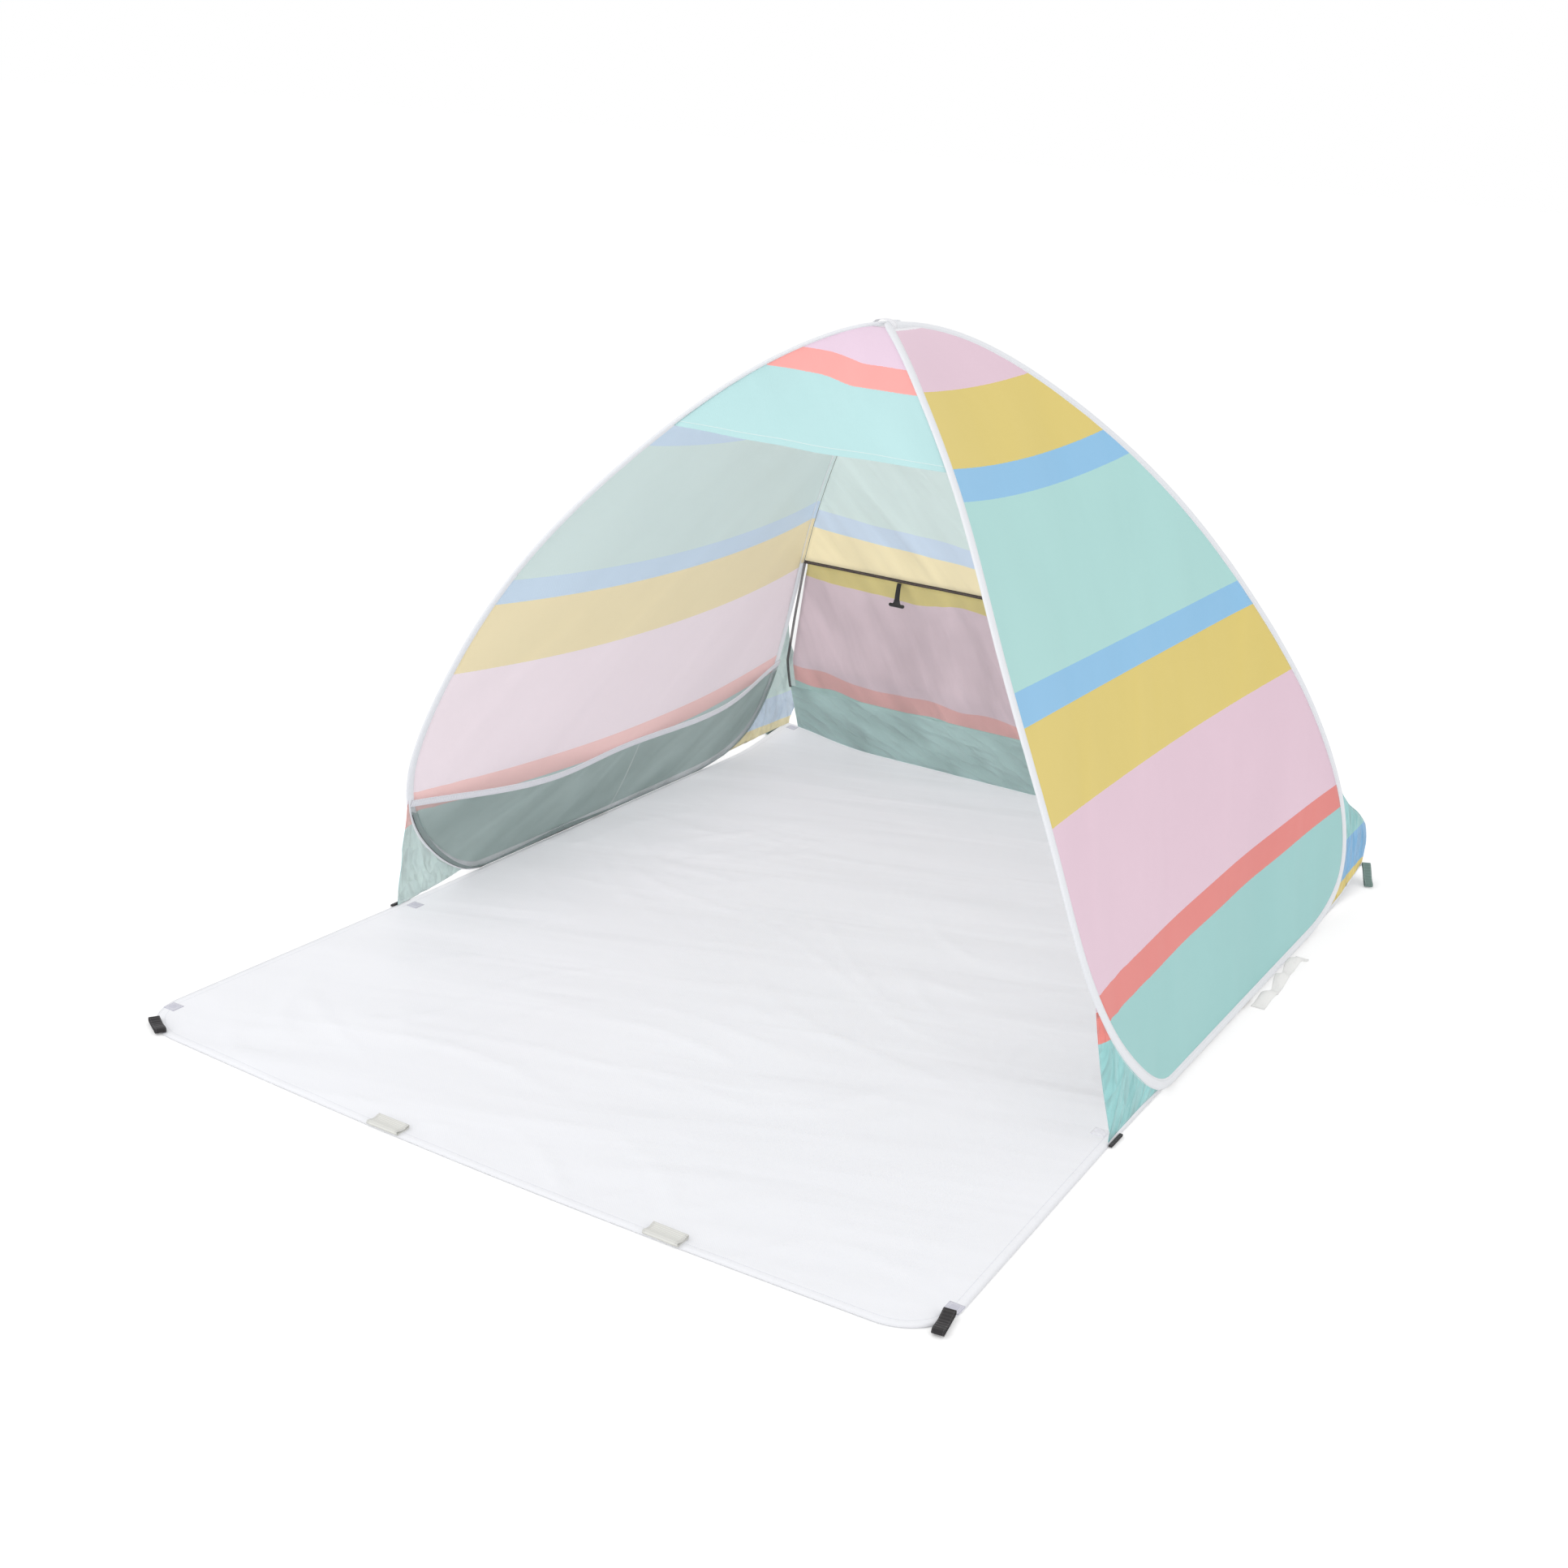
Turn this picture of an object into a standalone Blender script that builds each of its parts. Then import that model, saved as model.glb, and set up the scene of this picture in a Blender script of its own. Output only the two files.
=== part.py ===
# Pop-up beach tent: two sprung hoops in cloth sleeves, striped cloth walls and a long ground sheet.
# Metres, +Z up. The mouth faces -Y, and the origin is on the ground in the middle of the tent's floor.
import math

import bmesh
import bpy
from mathutils import Matrix, Vector

COLLECTION = "beach_tent"

# Driving sizes of the tent.
FLOOR_WIDTH = 1.500
FLOOR_DEPTH = 1.510
APRON_LENGTH = 0.665
HOOP_HEIGHT = 1.180
HOOP_OVERHANG = 0.040
HOOP_SETBACK = 0.153
SLEEVE_DIAMETER = 0.016
SLEEVE_WALL = 0.0011
WIRE_DIAMETER = 0.004
CLOTH = 0.0012
NET = 0.0010
SEAT_GAP = 0.0003

# The hoop's side outline, from the crown down to the foot, as shares of its depth and height.
FRONT_SHARES = [
    (0.3185, 1.0), (0.2133, 0.939), (0.1181, 0.800), (0.0344, 0.6263),
    (0.0, 0.441), (0.0014, 0.2441), (0.0773, 0.0958), (0.2183, 0.0),
]
REAR_SHARES = [
    (0.3185, 1.0), (0.4581, 0.9763), (0.5977, 0.8729), (0.7309, 0.728), (0.8497, 0.5441),
    (0.9506, 0.350), (1.0, 0.1627), (0.9556, 0.0398), (0.8067, 0.0),
]
# How the walls round over from the foot to the crown, as exponents of the height share.
ARCH_RISE = 1.45
ARCH_ROUND = 0.70
LEVELS_PER_SPAN = 4
FOOT_STATIONS = 7
REAR_SAMPLES = 60

SLEEVE_RADIUS = SLEEVE_DIAMETER / 2
CENTRE_GAP = SLEEVE_RADIUS + SEAT_GAP
FLOOR_FRONT = -FLOOR_DEPTH / 2
FLOOR_REAR = FLOOR_DEPTH / 2
HOOP_FRONT = FLOOR_FRONT - HOOP_OVERHANG
HOOP_DEPTH = FLOOR_REAR - HOOP_SETBACK - HOOP_FRONT
FOOT_X = FLOOR_WIDTH / 2 + math.sqrt(CENTRE_GAP**2 - (SLEEVE_RADIUS - CLOTH) ** 2)
CROWN_X = CENTRE_GAP
CROWN_Z = SLEEVE_RADIUS + HOOP_HEIGHT
SIDES = (("left", -1), ("right", 1))

# Colours as the eye sees them, roughness and metallic value.
FINISHES = {
    "pink_cloth": ((0.89, 0.78, 0.84), 0.62, 0.0),
    "awning_cloth": ((0.93, 0.80, 0.84), 0.62, 0.0),
    "teal_cloth": ((0.66, 0.84, 0.82), 0.62, 0.0),
    "white_sheet": ((0.92, 0.925, 0.94), 0.60, 0.0),
    "white_sleeve": ((0.90, 0.91, 0.93), 0.70, 0.0),
    "black_net": ((0.28, 0.32, 0.32), 0.85, 0.0),
    "black_webbing": ((0.14, 0.13, 0.14), 0.85, 0.0),
    "grey_patch": ((0.78, 0.78, 0.82), 0.75, 0.0),
    "white_elastic": ((0.90, 0.90, 0.93), 0.75, 0.0),
    "cream_tab": ((0.87, 0.87, 0.85), 0.70, 0.0),
    "grey_green_webbing": ((0.45, 0.55, 0.52), 0.80, 0.0),
    "white_cotton": ((0.94, 0.94, 0.93), 0.85, 0.0),
    "black_toggle": ((0.10, 0.10, 0.11), 0.45, 0.0),
    "spring_steel": ((0.60, 0.61, 0.62), 0.35, 1.0),
    "crimped_brass": ((0.72, 0.62, 0.38), 0.40, 1.0),
}


def linear(value):
    if value <= 0.04045:
        return value / 12.92
    return ((value + 0.055) / 1.055) ** 2.4


def make_material(name):
    colour, roughness, metallic = FINISHES[name]
    material = bpy.data.materials.new(name)
    material.use_nodes = True
    shader = material.node_tree.nodes["Principled BSDF"]
    shader.inputs["Base Color"].default_value = (*[linear(value) for value in colour], 1.0)
    shader.inputs["Roughness"].default_value = roughness
    shader.inputs["Metallic"].default_value = metallic
    return material


def clear_scene():
    for obj in list(bpy.data.objects):
        bpy.data.objects.remove(obj)
    collection = bpy.data.collections.new(COLLECTION)
    bpy.context.scene.collection.children.link(collection)
    return collection


collection = clear_scene()
materials = {name: make_material(name) for name in FINISHES}
side_axes = {}
for side_name, side_sign in SIDES:
    side_axis = bpy.data.objects.new(side_name + "_side_axis", None)
    collection.objects.link(side_axis)
    side_axes[side_name] = side_axis


def finish(obj, finish_name, parent=None):
    obj.data.materials.append(materials[finish_name])
    if obj.name not in collection.objects:
        collection.objects.link(obj)
    for other in list(obj.users_collection):
        if other != collection:
            other.objects.unlink(obj)
    if parent:
        obj.parent = parent
        obj.matrix_parent_inverse = Matrix.Translation(-parent.location)
    return obj


def mesh_object(name, build, smooth=True):
    mesh = bpy.data.meshes.new(name)
    bm = bmesh.new()
    build(bm)
    bmesh.ops.recalc_face_normals(bm, faces=bm.faces)
    bm.to_mesh(mesh)
    bm.free()
    if smooth:
        mesh.shade_smooth()
    return bpy.data.objects.new(name, mesh)


# Curve helpers.
def catmull(points, t):
    """A point on the smooth curve through the points, whose ends run level."""
    last = len(points) - 1
    index = min(int(t), last - 1)
    share = t - index
    before = points[index - 1] if index else (2 * points[0][0] - points[1][0], points[1][1])
    if index + 2 <= last:
        after = points[index + 2]
    else:
        after = (2 * points[last][0] - points[last - 1][0], points[last - 1][1])
    result = []
    for axis in range(2):
        a, b, c, d = before[axis], points[index][axis], points[index + 1][axis], after[axis]
        pull = 2 * a - 5 * b + 4 * c - d
        bend = 3 * b - a - 3 * c + d
        result.append((2 * b + (c - a) * share + pull * share**2 + bend * share**3) / 2)
    return result


def outline_point(shares, t):
    depth_share, height_share = catmull(shares, t)
    return HOOP_FRONT + HOOP_DEPTH * depth_share, SLEEVE_RADIUS + HOOP_HEIGHT * height_share


def half_width(z):
    """Distance of the hoop's centre line from the middle plane at height z."""
    share = min(max((z - SLEEVE_RADIUS) / HOOP_HEIGHT, 0.0), 1.0)
    return CROWN_X + (FOOT_X - CROWN_X) * (1 - share**ARCH_RISE) ** ARCH_ROUND


def mix(a, b, share):
    return a + (b - a) * share


LEVEL_COUNT = LEVELS_PER_SPAN * (len(FRONT_SHARES) - 1)
rear_curve = [
    outline_point(REAR_SHARES, (len(REAR_SHARES) - 1) * i / REAR_SAMPLES) for i in range(REAR_SAMPLES + 1)
]


def rear_y(z):
    """How far back the hoop lies at height z on its rear branch."""
    for (y_a, z_a), (y_b, z_b) in zip(rear_curve, rear_curve[1:]):
        if z_b <= z <= z_a and z_a > z_b:
            return mix(y_a, y_b, (z_a - z) / (z_a - z_b))
    return rear_curve[0][0] if z > SLEEVE_RADIUS + HOOP_HEIGHT / 2 else rear_curve[-1][0]


front_line = [outline_point(FRONT_SHARES, k / LEVELS_PER_SPAN) for k in range(LEVEL_COUNT + 1)]
rear_line = [(rear_y(z), z) for _, z in front_line]


def hoop_stations(sign):
    """Points round one hoop: crown, down the front, along the foot, up the rear."""
    foot_front = front_line[-1][0]
    foot_rear = rear_line[-1][0]
    places = list(front_line)
    for i in range(1, FOOT_STATIONS + 1):
        places.append((mix(foot_front, foot_rear, i / (FOOT_STATIONS + 1)), SLEEVE_RADIUS))
    places += rear_line[:0:-1]
    return [Vector((sign * half_width(z), y, z)) for y, z in places]


def station_frames(stations, sign):
    """At each station: the tangent, the way into the wall and the wall's outward normal."""
    count = len(stations)
    middle = sum(stations, Vector()) / count
    frames = []
    for i, point in enumerate(stations):
        tangent = (stations[(i + 1) % count] - stations[i - 1]).normalized()
        z = min(point.z, stations[1].z)
        step = HOOP_HEIGHT / LEVEL_COUNT / 4
        slope = (half_width(z + step / 8) - half_width(z - step)) / (step + step / 8)
        outward = Vector((sign, 0, -slope))
        outward = (outward - tangent * outward.dot(tangent)).normalized()
        inward = outward.cross(tangent)
        if inward.dot(middle - point) < 0:
            inward = -inward
        frames.append((tangent, inward, outward))
    return frames


hoops = {}
for side_name, side_sign in SIDES:
    points = hoop_stations(side_sign)
    hoops[side_name] = (points, station_frames(points, side_sign))


def front_index(level):
    return level


def rear_index(level):
    return -level % len(hoops["left"][0])


def edge_point(side, index, toward, clearance):
    """A point beside the sleeve, the clearance away from its centre line and towards the given way."""
    stations, frames = hoops[side]
    tangent = frames[index][0]
    way = (toward - tangent * toward.dot(tangent)).normalized()
    return stations[index] + way * clearance


def inset_point(side, index, clearance=CENTRE_GAP):
    stations, frames = hoops[side]
    return stations[index] + frames[index][1] * clearance


# Cloth helpers.
def sheet(name, rows, thickness, finish_name, parent=None):
    """A closed sheet of cloth over a grid of points."""

    def build(bm):
        grid = [[bm.verts.new(point) for point in row] for row in rows]
        for upper, lower in zip(grid, grid[1:]):
            for i in range(len(upper) - 1):
                bm.faces.new((upper[i], upper[i + 1], lower[i + 1], lower[i]))

    obj = mesh_object(name, build)
    solidify = obj.modifiers.new("cloth", "SOLIDIFY")
    solidify.thickness = thickness
    solidify.offset = 0.0
    return finish(obj, finish_name, parent)


def row_between(start, end, count):
    return [start.lerp(end, i / count) for i in range(count + 1)]


def ring_loft(name, centres, across, up, profile, finish_name, parent=None):
    """A closed ring whose section is the profile, given along the across and up ways."""

    def build(bm):
        rings = []
        for centre, way, rise in zip(centres, across, up):
            rings.append([bm.verts.new(centre + way * u + rise * v) for u, v in profile])
        sides = len(profile)
        for i, ring in enumerate(rings):
            following = rings[(i + 1) % len(rings)]
            for j in range(sides):
                after = (j + 1) % sides
                bm.faces.new((ring[j], ring[after], following[after], following[j]))

    obj = mesh_object(name, build)
    return finish(obj, finish_name, parent)


def flat_plate(name, outline, holes, depth, finish_name, matrix, parent=None):
    """A flat outline with holes, extruded to the given depth about its own plane."""
    curve = bpy.data.curves.new(name, "CURVE")
    curve.dimensions = "2D"
    curve.fill_mode = "BOTH"
    curve.extrude = depth / 2
    for loop in [outline, *holes]:
        spline = curve.splines.new("POLY")
        spline.points.add(len(loop) - 1)
        for point, (x, y) in zip(spline.points, loop):
            point.co = (x, y, 0, 1)
        spline.use_cyclic_u = True
    obj = bpy.data.objects.new(name, curve)
    obj.matrix_world = matrix
    return finish(obj, finish_name, parent)


def wire(name, points, diameter, resolution, finish_name, parent=None):
    curve = bpy.data.curves.new(name, "CURVE")
    curve.dimensions = "3D"
    curve.bevel_depth = diameter / 2
    curve.bevel_resolution = resolution
    curve.use_fill_caps = True
    spline = curve.splines.new("POLY")
    spline.points.add(len(points) - 1)
    for point, place in zip(spline.points, points):
        point.co = (*place, 1)
    obj = bpy.data.objects.new(name, curve)
    return finish(obj, finish_name, parent)


# The two sprung hoops: a wire closed by a crimped ferrule, in a folded cloth sleeve open to the wall.
SLEEVE_MOUTH = math.asin((CLOTH / 2 + SEAT_GAP) / SLEEVE_RADIUS)
SLEEVE_SIDES = 8
WIRE_RESOLUTION = 1
FERRULE_LENGTH = 0.050
FERRULE_OUTSIDE = 0.0070
FERRULE_PLAY = 0.0003
WIRE_END_GAP = 0.0006
FERRULE_STEPS = 12


def sleeve_profile():
    """The section of a tube slit along the wall, outer face first."""
    turn = 2 * math.pi - 2 * SLEEVE_MOUTH
    angles = [SLEEVE_MOUTH + turn * i / SLEEVE_SIDES for i in range(SLEEVE_SIDES + 1)]
    outer = [(SLEEVE_RADIUS * math.cos(a), SLEEVE_RADIUS * math.sin(a)) for a in angles]
    inner_radius = SLEEVE_RADIUS - SLEEVE_WALL
    inner = [(inner_radius * math.cos(a), inner_radius * math.sin(a)) for a in reversed(angles)]
    return outer + inner


def make_ferrule(name, centre, parent):
    """A short tube, turned about the wire's line."""
    inner = WIRE_DIAMETER / 2 + FERRULE_PLAY
    outer = FERRULE_OUTSIDE / 2
    half = FERRULE_LENGTH / 2

    def build(bm):
        corners = [(outer, half), (outer, -half), (inner, -half), (inner, half)]
        verts = [bm.verts.new((x, 0, z)) for x, z in corners]
        for i, vert in enumerate(verts):
            bm.edges.new((vert, verts[(i + 1) % len(verts)]))

    obj = mesh_object(name, build, smooth=False)
    screw = obj.modifiers.new("turn", "SCREW")
    screw.steps = FERRULE_STEPS
    screw.render_steps = FERRULE_STEPS
    screw.use_merge_vertices = True
    screw.merge_threshold = 0.00001
    obj.matrix_world = Matrix.Translation(centre) @ Matrix.Rotation(math.pi / 2, 4, "X")
    return finish(obj, "crimped_brass", parent)


def make_hoop(side, parent):
    stations, frames = hoops[side]
    middle_index = LEVEL_COUNT + (FOOT_STATIONS + 1) // 2
    half_side = (math.pi - SLEEVE_MOUTH) / SLEEVE_SIDES
    flat = (SLEEVE_RADIUS - SLEEVE_WALL) * math.cos(half_side)
    press = (flat - SEAT_GAP - FERRULE_OUTSIDE / 2) / math.cos(half_side)
    pressed = [point - frame[1] * press for point, frame in zip(stations, frames)]
    foot_middle = pressed[middle_index]
    half_gap = Vector((0, WIRE_END_GAP / 2, 0))
    route = [foot_middle + half_gap]
    route += pressed[middle_index + 1:] + pressed[:middle_index]
    route.append(foot_middle - half_gap)
    wire(side + "_hoop_wire", route, WIRE_DIAMETER, WIRE_RESOLUTION, "spring_steel", parent)
    make_ferrule(side + "_wire_ferrule", foot_middle, parent)
    inwards = [frame[1] for frame in frames]
    outwards = [frame[2] for frame in frames]
    ring_loft(side + "_hoop_sleeve", stations, inwards, outwards, sleeve_profile(), "white_sleeve", parent)


# A band of white tape holds the two hoops together at the crown.
CROWN_BAND_LENGTH = 0.026
CROWN_BAND_HALF_WIDTH = 0.0290
CROWN_BAND_HALF_HEIGHT = 0.0117
CROWN_BAND_DROP = 0.0012
CROWN_BAND_STEPS = 20


def make_crown_binding():
    def loop(extra):
        points = []
        for i in range(CROWN_BAND_STEPS):
            angle = 2 * math.pi * i / CROWN_BAND_STEPS
            x = (CROWN_BAND_HALF_WIDTH + extra) * math.cos(angle)
            points.append((x, (CROWN_BAND_HALF_HEIGHT + extra) * math.sin(angle)))
        return points

    centre = Vector((0, front_line[0][0], CROWN_Z - CROWN_BAND_DROP))
    place = Matrix.Translation(centre) @ Matrix.Rotation(math.pi / 2, 4, "X")
    flat_plate("crown_binding", loop(CLOTH), [loop(0)], CROWN_BAND_LENGTH, "white_sleeve", place)


# The side walls hang inside the hoops.
WALL_COLUMNS = FOOT_STATIONS + 1
WALL_TOP_LEVEL = 1


def make_wall(side, sign, parent):
    rows = []
    for level in range(WALL_TOP_LEVEL, LEVEL_COUNT):
        start = inset_point(side, front_index(level))
        end = inset_point(side, rear_index(level))
        row = row_between(start, end, WALL_COLUMNS)
        for point in row[1:-1]:
            point.x = sign * half_width(point.z)
        rows.append(row)
    rows.append([inset_point(side, i) for i in range(LEVEL_COUNT, LEVEL_COUNT + FOOT_STATIONS + 2)])
    sheet(side + "_wall", rows, CLOTH, "pink_cloth", parent)


# Net pockets line the foot of each wall, closed by a stitched line in the middle.
POCKET_TOP_ENDS = 0.222
POCKET_TOP_MIDDLE = 0.176
POCKET_SEAM_CLEARANCE = 0.0035
POCKET_BULGE = 0.030
POCKET_EDGE_INSET = 0.0012
POCKET_COLUMNS = 16
POCKET_ROWS = 5
BAND_HEIGHT = 0.014
BAND_THICKNESS = 0.0020


def wall_edge(side, z, branch):
    """The wall's edge point at height z on the front or the rear branch of the hoop."""
    stations, frames = hoops[side]
    pick = front_index if branch == "front" else rear_index
    for level in range(1, LEVEL_COUNT):
        upper = inset_point(side, pick(level), CENTRE_GAP + POCKET_EDGE_INSET)
        lower = inset_point(side, pick(level + 1), CENTRE_GAP + POCKET_EDGE_INSET)
        if lower.z <= z <= upper.z:
            return upper.lerp(lower, (upper.z - z) / (upper.z - lower.z))
    return inset_point(side, pick(LEVEL_COUNT), CENTRE_GAP + POCKET_EDGE_INSET)


def pocket_top(u):
    return POCKET_TOP_MIDDLE + (POCKET_TOP_ENDS - POCKET_TOP_MIDDLE) * (2 * u - 1) ** 2


def pocket_point(side, sign, u, drop, foot_z):
    """A point of the pocket: u runs from front to rear and drop from the band to the foot."""
    z = mix(pocket_top(u), foot_z, drop)
    front = wall_edge(side, mix(POCKET_TOP_ENDS, foot_z, drop), "front")
    rear = wall_edge(side, mix(POCKET_TOP_ENDS, foot_z, drop), "rear")
    y = mix(front.y, rear.y, u)
    swell = math.sin(2 * math.pi * u) ** 2 * (1 - drop) ** 1.5
    stand_off = POCKET_SEAM_CLEARANCE + POCKET_BULGE * swell
    return Vector((sign * (half_width(z) - stand_off), y, z))


def make_pocket(side, sign, parent):
    foot_z = inset_point(side, LEVEL_COUNT + 1, CENTRE_GAP + POCKET_EDGE_INSET).z
    rows = []
    for i in range(POCKET_ROWS + 1):
        drop = i / POCKET_ROWS
        rows.append(
            [pocket_point(side, sign, j / POCKET_COLUMNS, drop, foot_z) for j in range(POCKET_COLUMNS + 1)]
        )
    sheet(side + "_pocket", rows, NET, "black_net", parent)
    band_rows = []
    for share in (0.0, 1.0):
        row = []
        for j in range(POCKET_COLUMNS + 1):
            point = pocket_point(side, sign, j / POCKET_COLUMNS, 0.0, foot_z)
            rise = SEAT_GAP + BAND_HEIGHT * share
            lean = half_width(point.z + rise) - half_width(point.z)
            row.append(point + Vector((sign * lean, 0, rise)))
        band_rows.append(row)
    sheet(side + "_pocket_band", band_rows, BAND_THICKNESS, "white_elastic", parent)


# The awning spans the hoops' front edges, from the crown down to its hem.
CROWN_ROW_SHARE = 0.5
AWNING_HEM_LEVEL = 7
AWNING_COLUMNS = 14
AWNING_FOLD = 0.0035
AWNING_FOLDS = 3


def hem_point(pick, level):
    """The edge of a cloth that spans the hoops, at a level that may lie between two stations."""
    across = Vector((-1, 0, 0))
    below = min(int(level), LEVEL_COUNT - 1)
    first = edge_point("right", pick(below), across, CENTRE_GAP)
    if below == 0:
        first = hoops["right"][0][0] - Vector((CROWN_X, 0, 0))
    return first.lerp(edge_point("right", pick(below + 1), across, CENTRE_GAP), level - below)


def cross_row(pick, level, columns, inset=0.0):
    """A level row of points between the two hoops at one of their levels."""
    edge = hem_point(pick, level)
    half = edge.x - inset
    return [Vector((half * (2 * i / columns - 1), edge.y, edge.z)) for i in range(columns + 1)]


def level_at(z):
    """The level, whole or not, of height z."""
    for level in range(LEVEL_COUNT):
        upper = front_line[level][1]
        lower = front_line[level + 1][1]
        if lower <= z <= upper:
            return level + (upper - z) / (upper - lower)
    return LEVEL_COUNT


def fold_row(row, normal, height, waves, phase):
    """Bends a row along the normal, with no bend at its ends."""
    last = len(row) - 1
    for i, point in enumerate(row):
        share = i / last
        calm = math.sin(math.pi * share)
        point += normal * (height * calm * math.sin(2 * math.pi * waves * share + phase))
    return row


def make_awning():
    rows = []
    for level in [CROWN_ROW_SHARE, *range(WALL_TOP_LEVEL, AWNING_HEM_LEVEL + 1)]:
        share = level / AWNING_HEM_LEVEL
        row = cross_row(front_index, level, AWNING_COLUMNS)
        rows.append(fold_row(row, Vector((0, -1, 0)), AWNING_FOLD * share, AWNING_FOLDS, math.pi * share))
    sheet("awning", rows, CLOTH, "awning_cloth")


# The rear cloth runs from the crown down to the tape above the window.
SEAM_LEVEL = 16
REAR_COLUMNS = 16
REAR_FOLD = 0.0040
REAR_FOLDS = 4
SEAM_TAPE_HEIGHT = 0.012
SEAM_TAPE_THICKNESS = 0.0024
SEAM_Z = front_line[SEAM_LEVEL][1]
SEAM_TOP = level_at(SEAM_Z + SEAM_TAPE_HEIGHT / 2)
SEAM_FOOT = level_at(SEAM_Z - SEAM_TAPE_HEIGHT / 2)


def make_rear_panel():
    rows = []
    end = level_at(SEAM_Z + SEAM_TAPE_HEIGHT / 2 + SEAT_GAP)
    for level in [CROWN_ROW_SHARE, *range(WALL_TOP_LEVEL, SEAM_LEVEL), end]:
        share = math.sin(math.pi * level / SEAM_LEVEL)
        row = cross_row(rear_index, level, REAR_COLUMNS)
        rows.append(fold_row(row, Vector((0, 1, 0)), REAR_FOLD * share, REAR_FOLDS, math.pi * share))
    sheet("rear_panel", rows, CLOTH, "teal_cloth")
    tape = [cross_row(rear_index, level, REAR_COLUMNS) for level in (SEAM_TOP, SEAM_FOOT)]
    sheet("window_seam_tape", tape, SEAM_TAPE_THICKNESS, "black_webbing")


# Below the seam a net window hangs between black bindings, with a skirt under it to the floor.
TURN_LEVEL = 21
NET_END_LEVEL = 23
NET_COLUMNS = 16
BINDING_WIDTH = 0.009
BINDING_THICKNESS = 0.0020
SIDE_SLIT = 0.040
SKIRT_FOOT_INSET = 0.008
SKIRT_CORNER_INSET = 0.036
SKIRT_ROWS = 3
NET_FOLD = 0.0030
NET_FOLDS = 5


def back_place(level):
    """Depth and height of the tent's back at one level, which leans out to the floor's rear edge."""
    if level <= TURN_LEVEL:
        edge = hem_point(rear_index, level)
        return edge.y, edge.z
    turn = hem_point(rear_index, TURN_LEVEL)
    z = rear_line[level][1]
    return mix(turn.y, FLOOR_REAR - SKIRT_FOOT_INSET, (turn.z - z) / turn.z), z


def window_half_width(level):
    """Half the window's width, which leaves a slit beside the hoop that widens downwards."""
    z = rear_line[level][1]
    drop = (SEAM_Z - z) / (SEAM_Z - rear_line[NET_END_LEVEL][1])
    edge = hem_point(rear_index, SEAM_FOOT).x - half_width(SEAM_Z - SEAM_TAPE_HEIGHT / 2)
    return half_width(z) + edge - SIDE_SLIT * min(max(drop, 0), 1) ** 1.5


def window_rows(inset, columns, shift, bend):
    """Rows of the window from the seam tape's lower edge down to the skirt."""
    rows = []
    first = hem_point(rear_index, level_at(SEAM_Z - SEAM_TAPE_HEIGHT / 2 - SEAT_GAP))
    places = [(first.x, first.y, first.z)]
    for level in range(SEAM_LEVEL + 1, NET_END_LEVEL + 1):
        places.append((window_half_width(level), *back_place(level)))
    for number, (half, y, z) in enumerate(places):
        share = number / (len(places) - 1)
        edge = half - inset
        row = [Vector((edge * (2 * i / columns - 1), y + shift, z)) for i in range(columns + 1)]
        rows.append(fold_row(row, Vector((0, 1, 0)), bend * math.sin(math.pi * share), NET_FOLDS, 3 * share))
    return rows


def make_window():
    net_inset = BINDING_WIDTH + SEAT_GAP
    sheet("window_net", window_rows(net_inset, NET_COLUMNS, 0.0, NET_FOLD), NET, "black_net")
    edges = window_rows(0.0, 1, 0.0, 0.0)
    for side, sign in SIDES:
        rows = []
        for row in edges:
            outer = row[-1] if sign > 0 else row[0]
            inner = Vector((outer.x - sign * BINDING_WIDTH, outer.y, outer.z))
            rows.append([inner, outer])
        sheet(side + "_window_binding", rows, BINDING_THICKNESS, "black_webbing")


def make_skirt():
    top_y, top_z = back_place(NET_END_LEVEL)
    top_half = window_half_width(NET_END_LEVEL)
    foot = Vector((FLOOR_WIDTH / 2 - SKIRT_CORNER_INSET, FLOOR_REAR - SKIRT_FOOT_INSET, 0))
    foot.z = CLOTH + SEAT_GAP + CLOTH / 2
    top_z -= 2 * SEAT_GAP
    rows = []
    for number in range(SKIRT_ROWS + 1):
        share = number / SKIRT_ROWS
        half = mix(top_half, foot.x, share)
        y = mix(top_y, foot.y, share)
        z = mix(top_z, foot.z, share)
        row = [Vector((half * (2 * i / REAR_COLUMNS - 1), y, z)) for i in range(REAR_COLUMNS + 1)]
        rows.append(fold_row(row, Vector((0, 1, 0)), REAR_FOLD * math.sin(math.pi * share), REAR_FOLDS, 1.0))
    sheet("rear_skirt", rows, CLOTH, "teal_cloth")


# The weather flap covers the net from outside and hinges on the seam.
FLAP_STAND_OFF = 0.0100
FLAP_SPREAD = 3
FLAP_SIDE_INSET = 0.006
FLAP_COLUMNS = 24
FLAP_END_LEVEL = 24
FLAP_FOLD = 0.0055
FLAP_FOLDS = 4
HINGE_STAND_OFF = 0.0030


def hinge_place():
    """The flap's hinge line, just outside the seam tape."""
    seam = hem_point(rear_index, SEAM_LEVEL)
    return Vector((0, seam.y + HINGE_STAND_OFF, seam.z))


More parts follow.
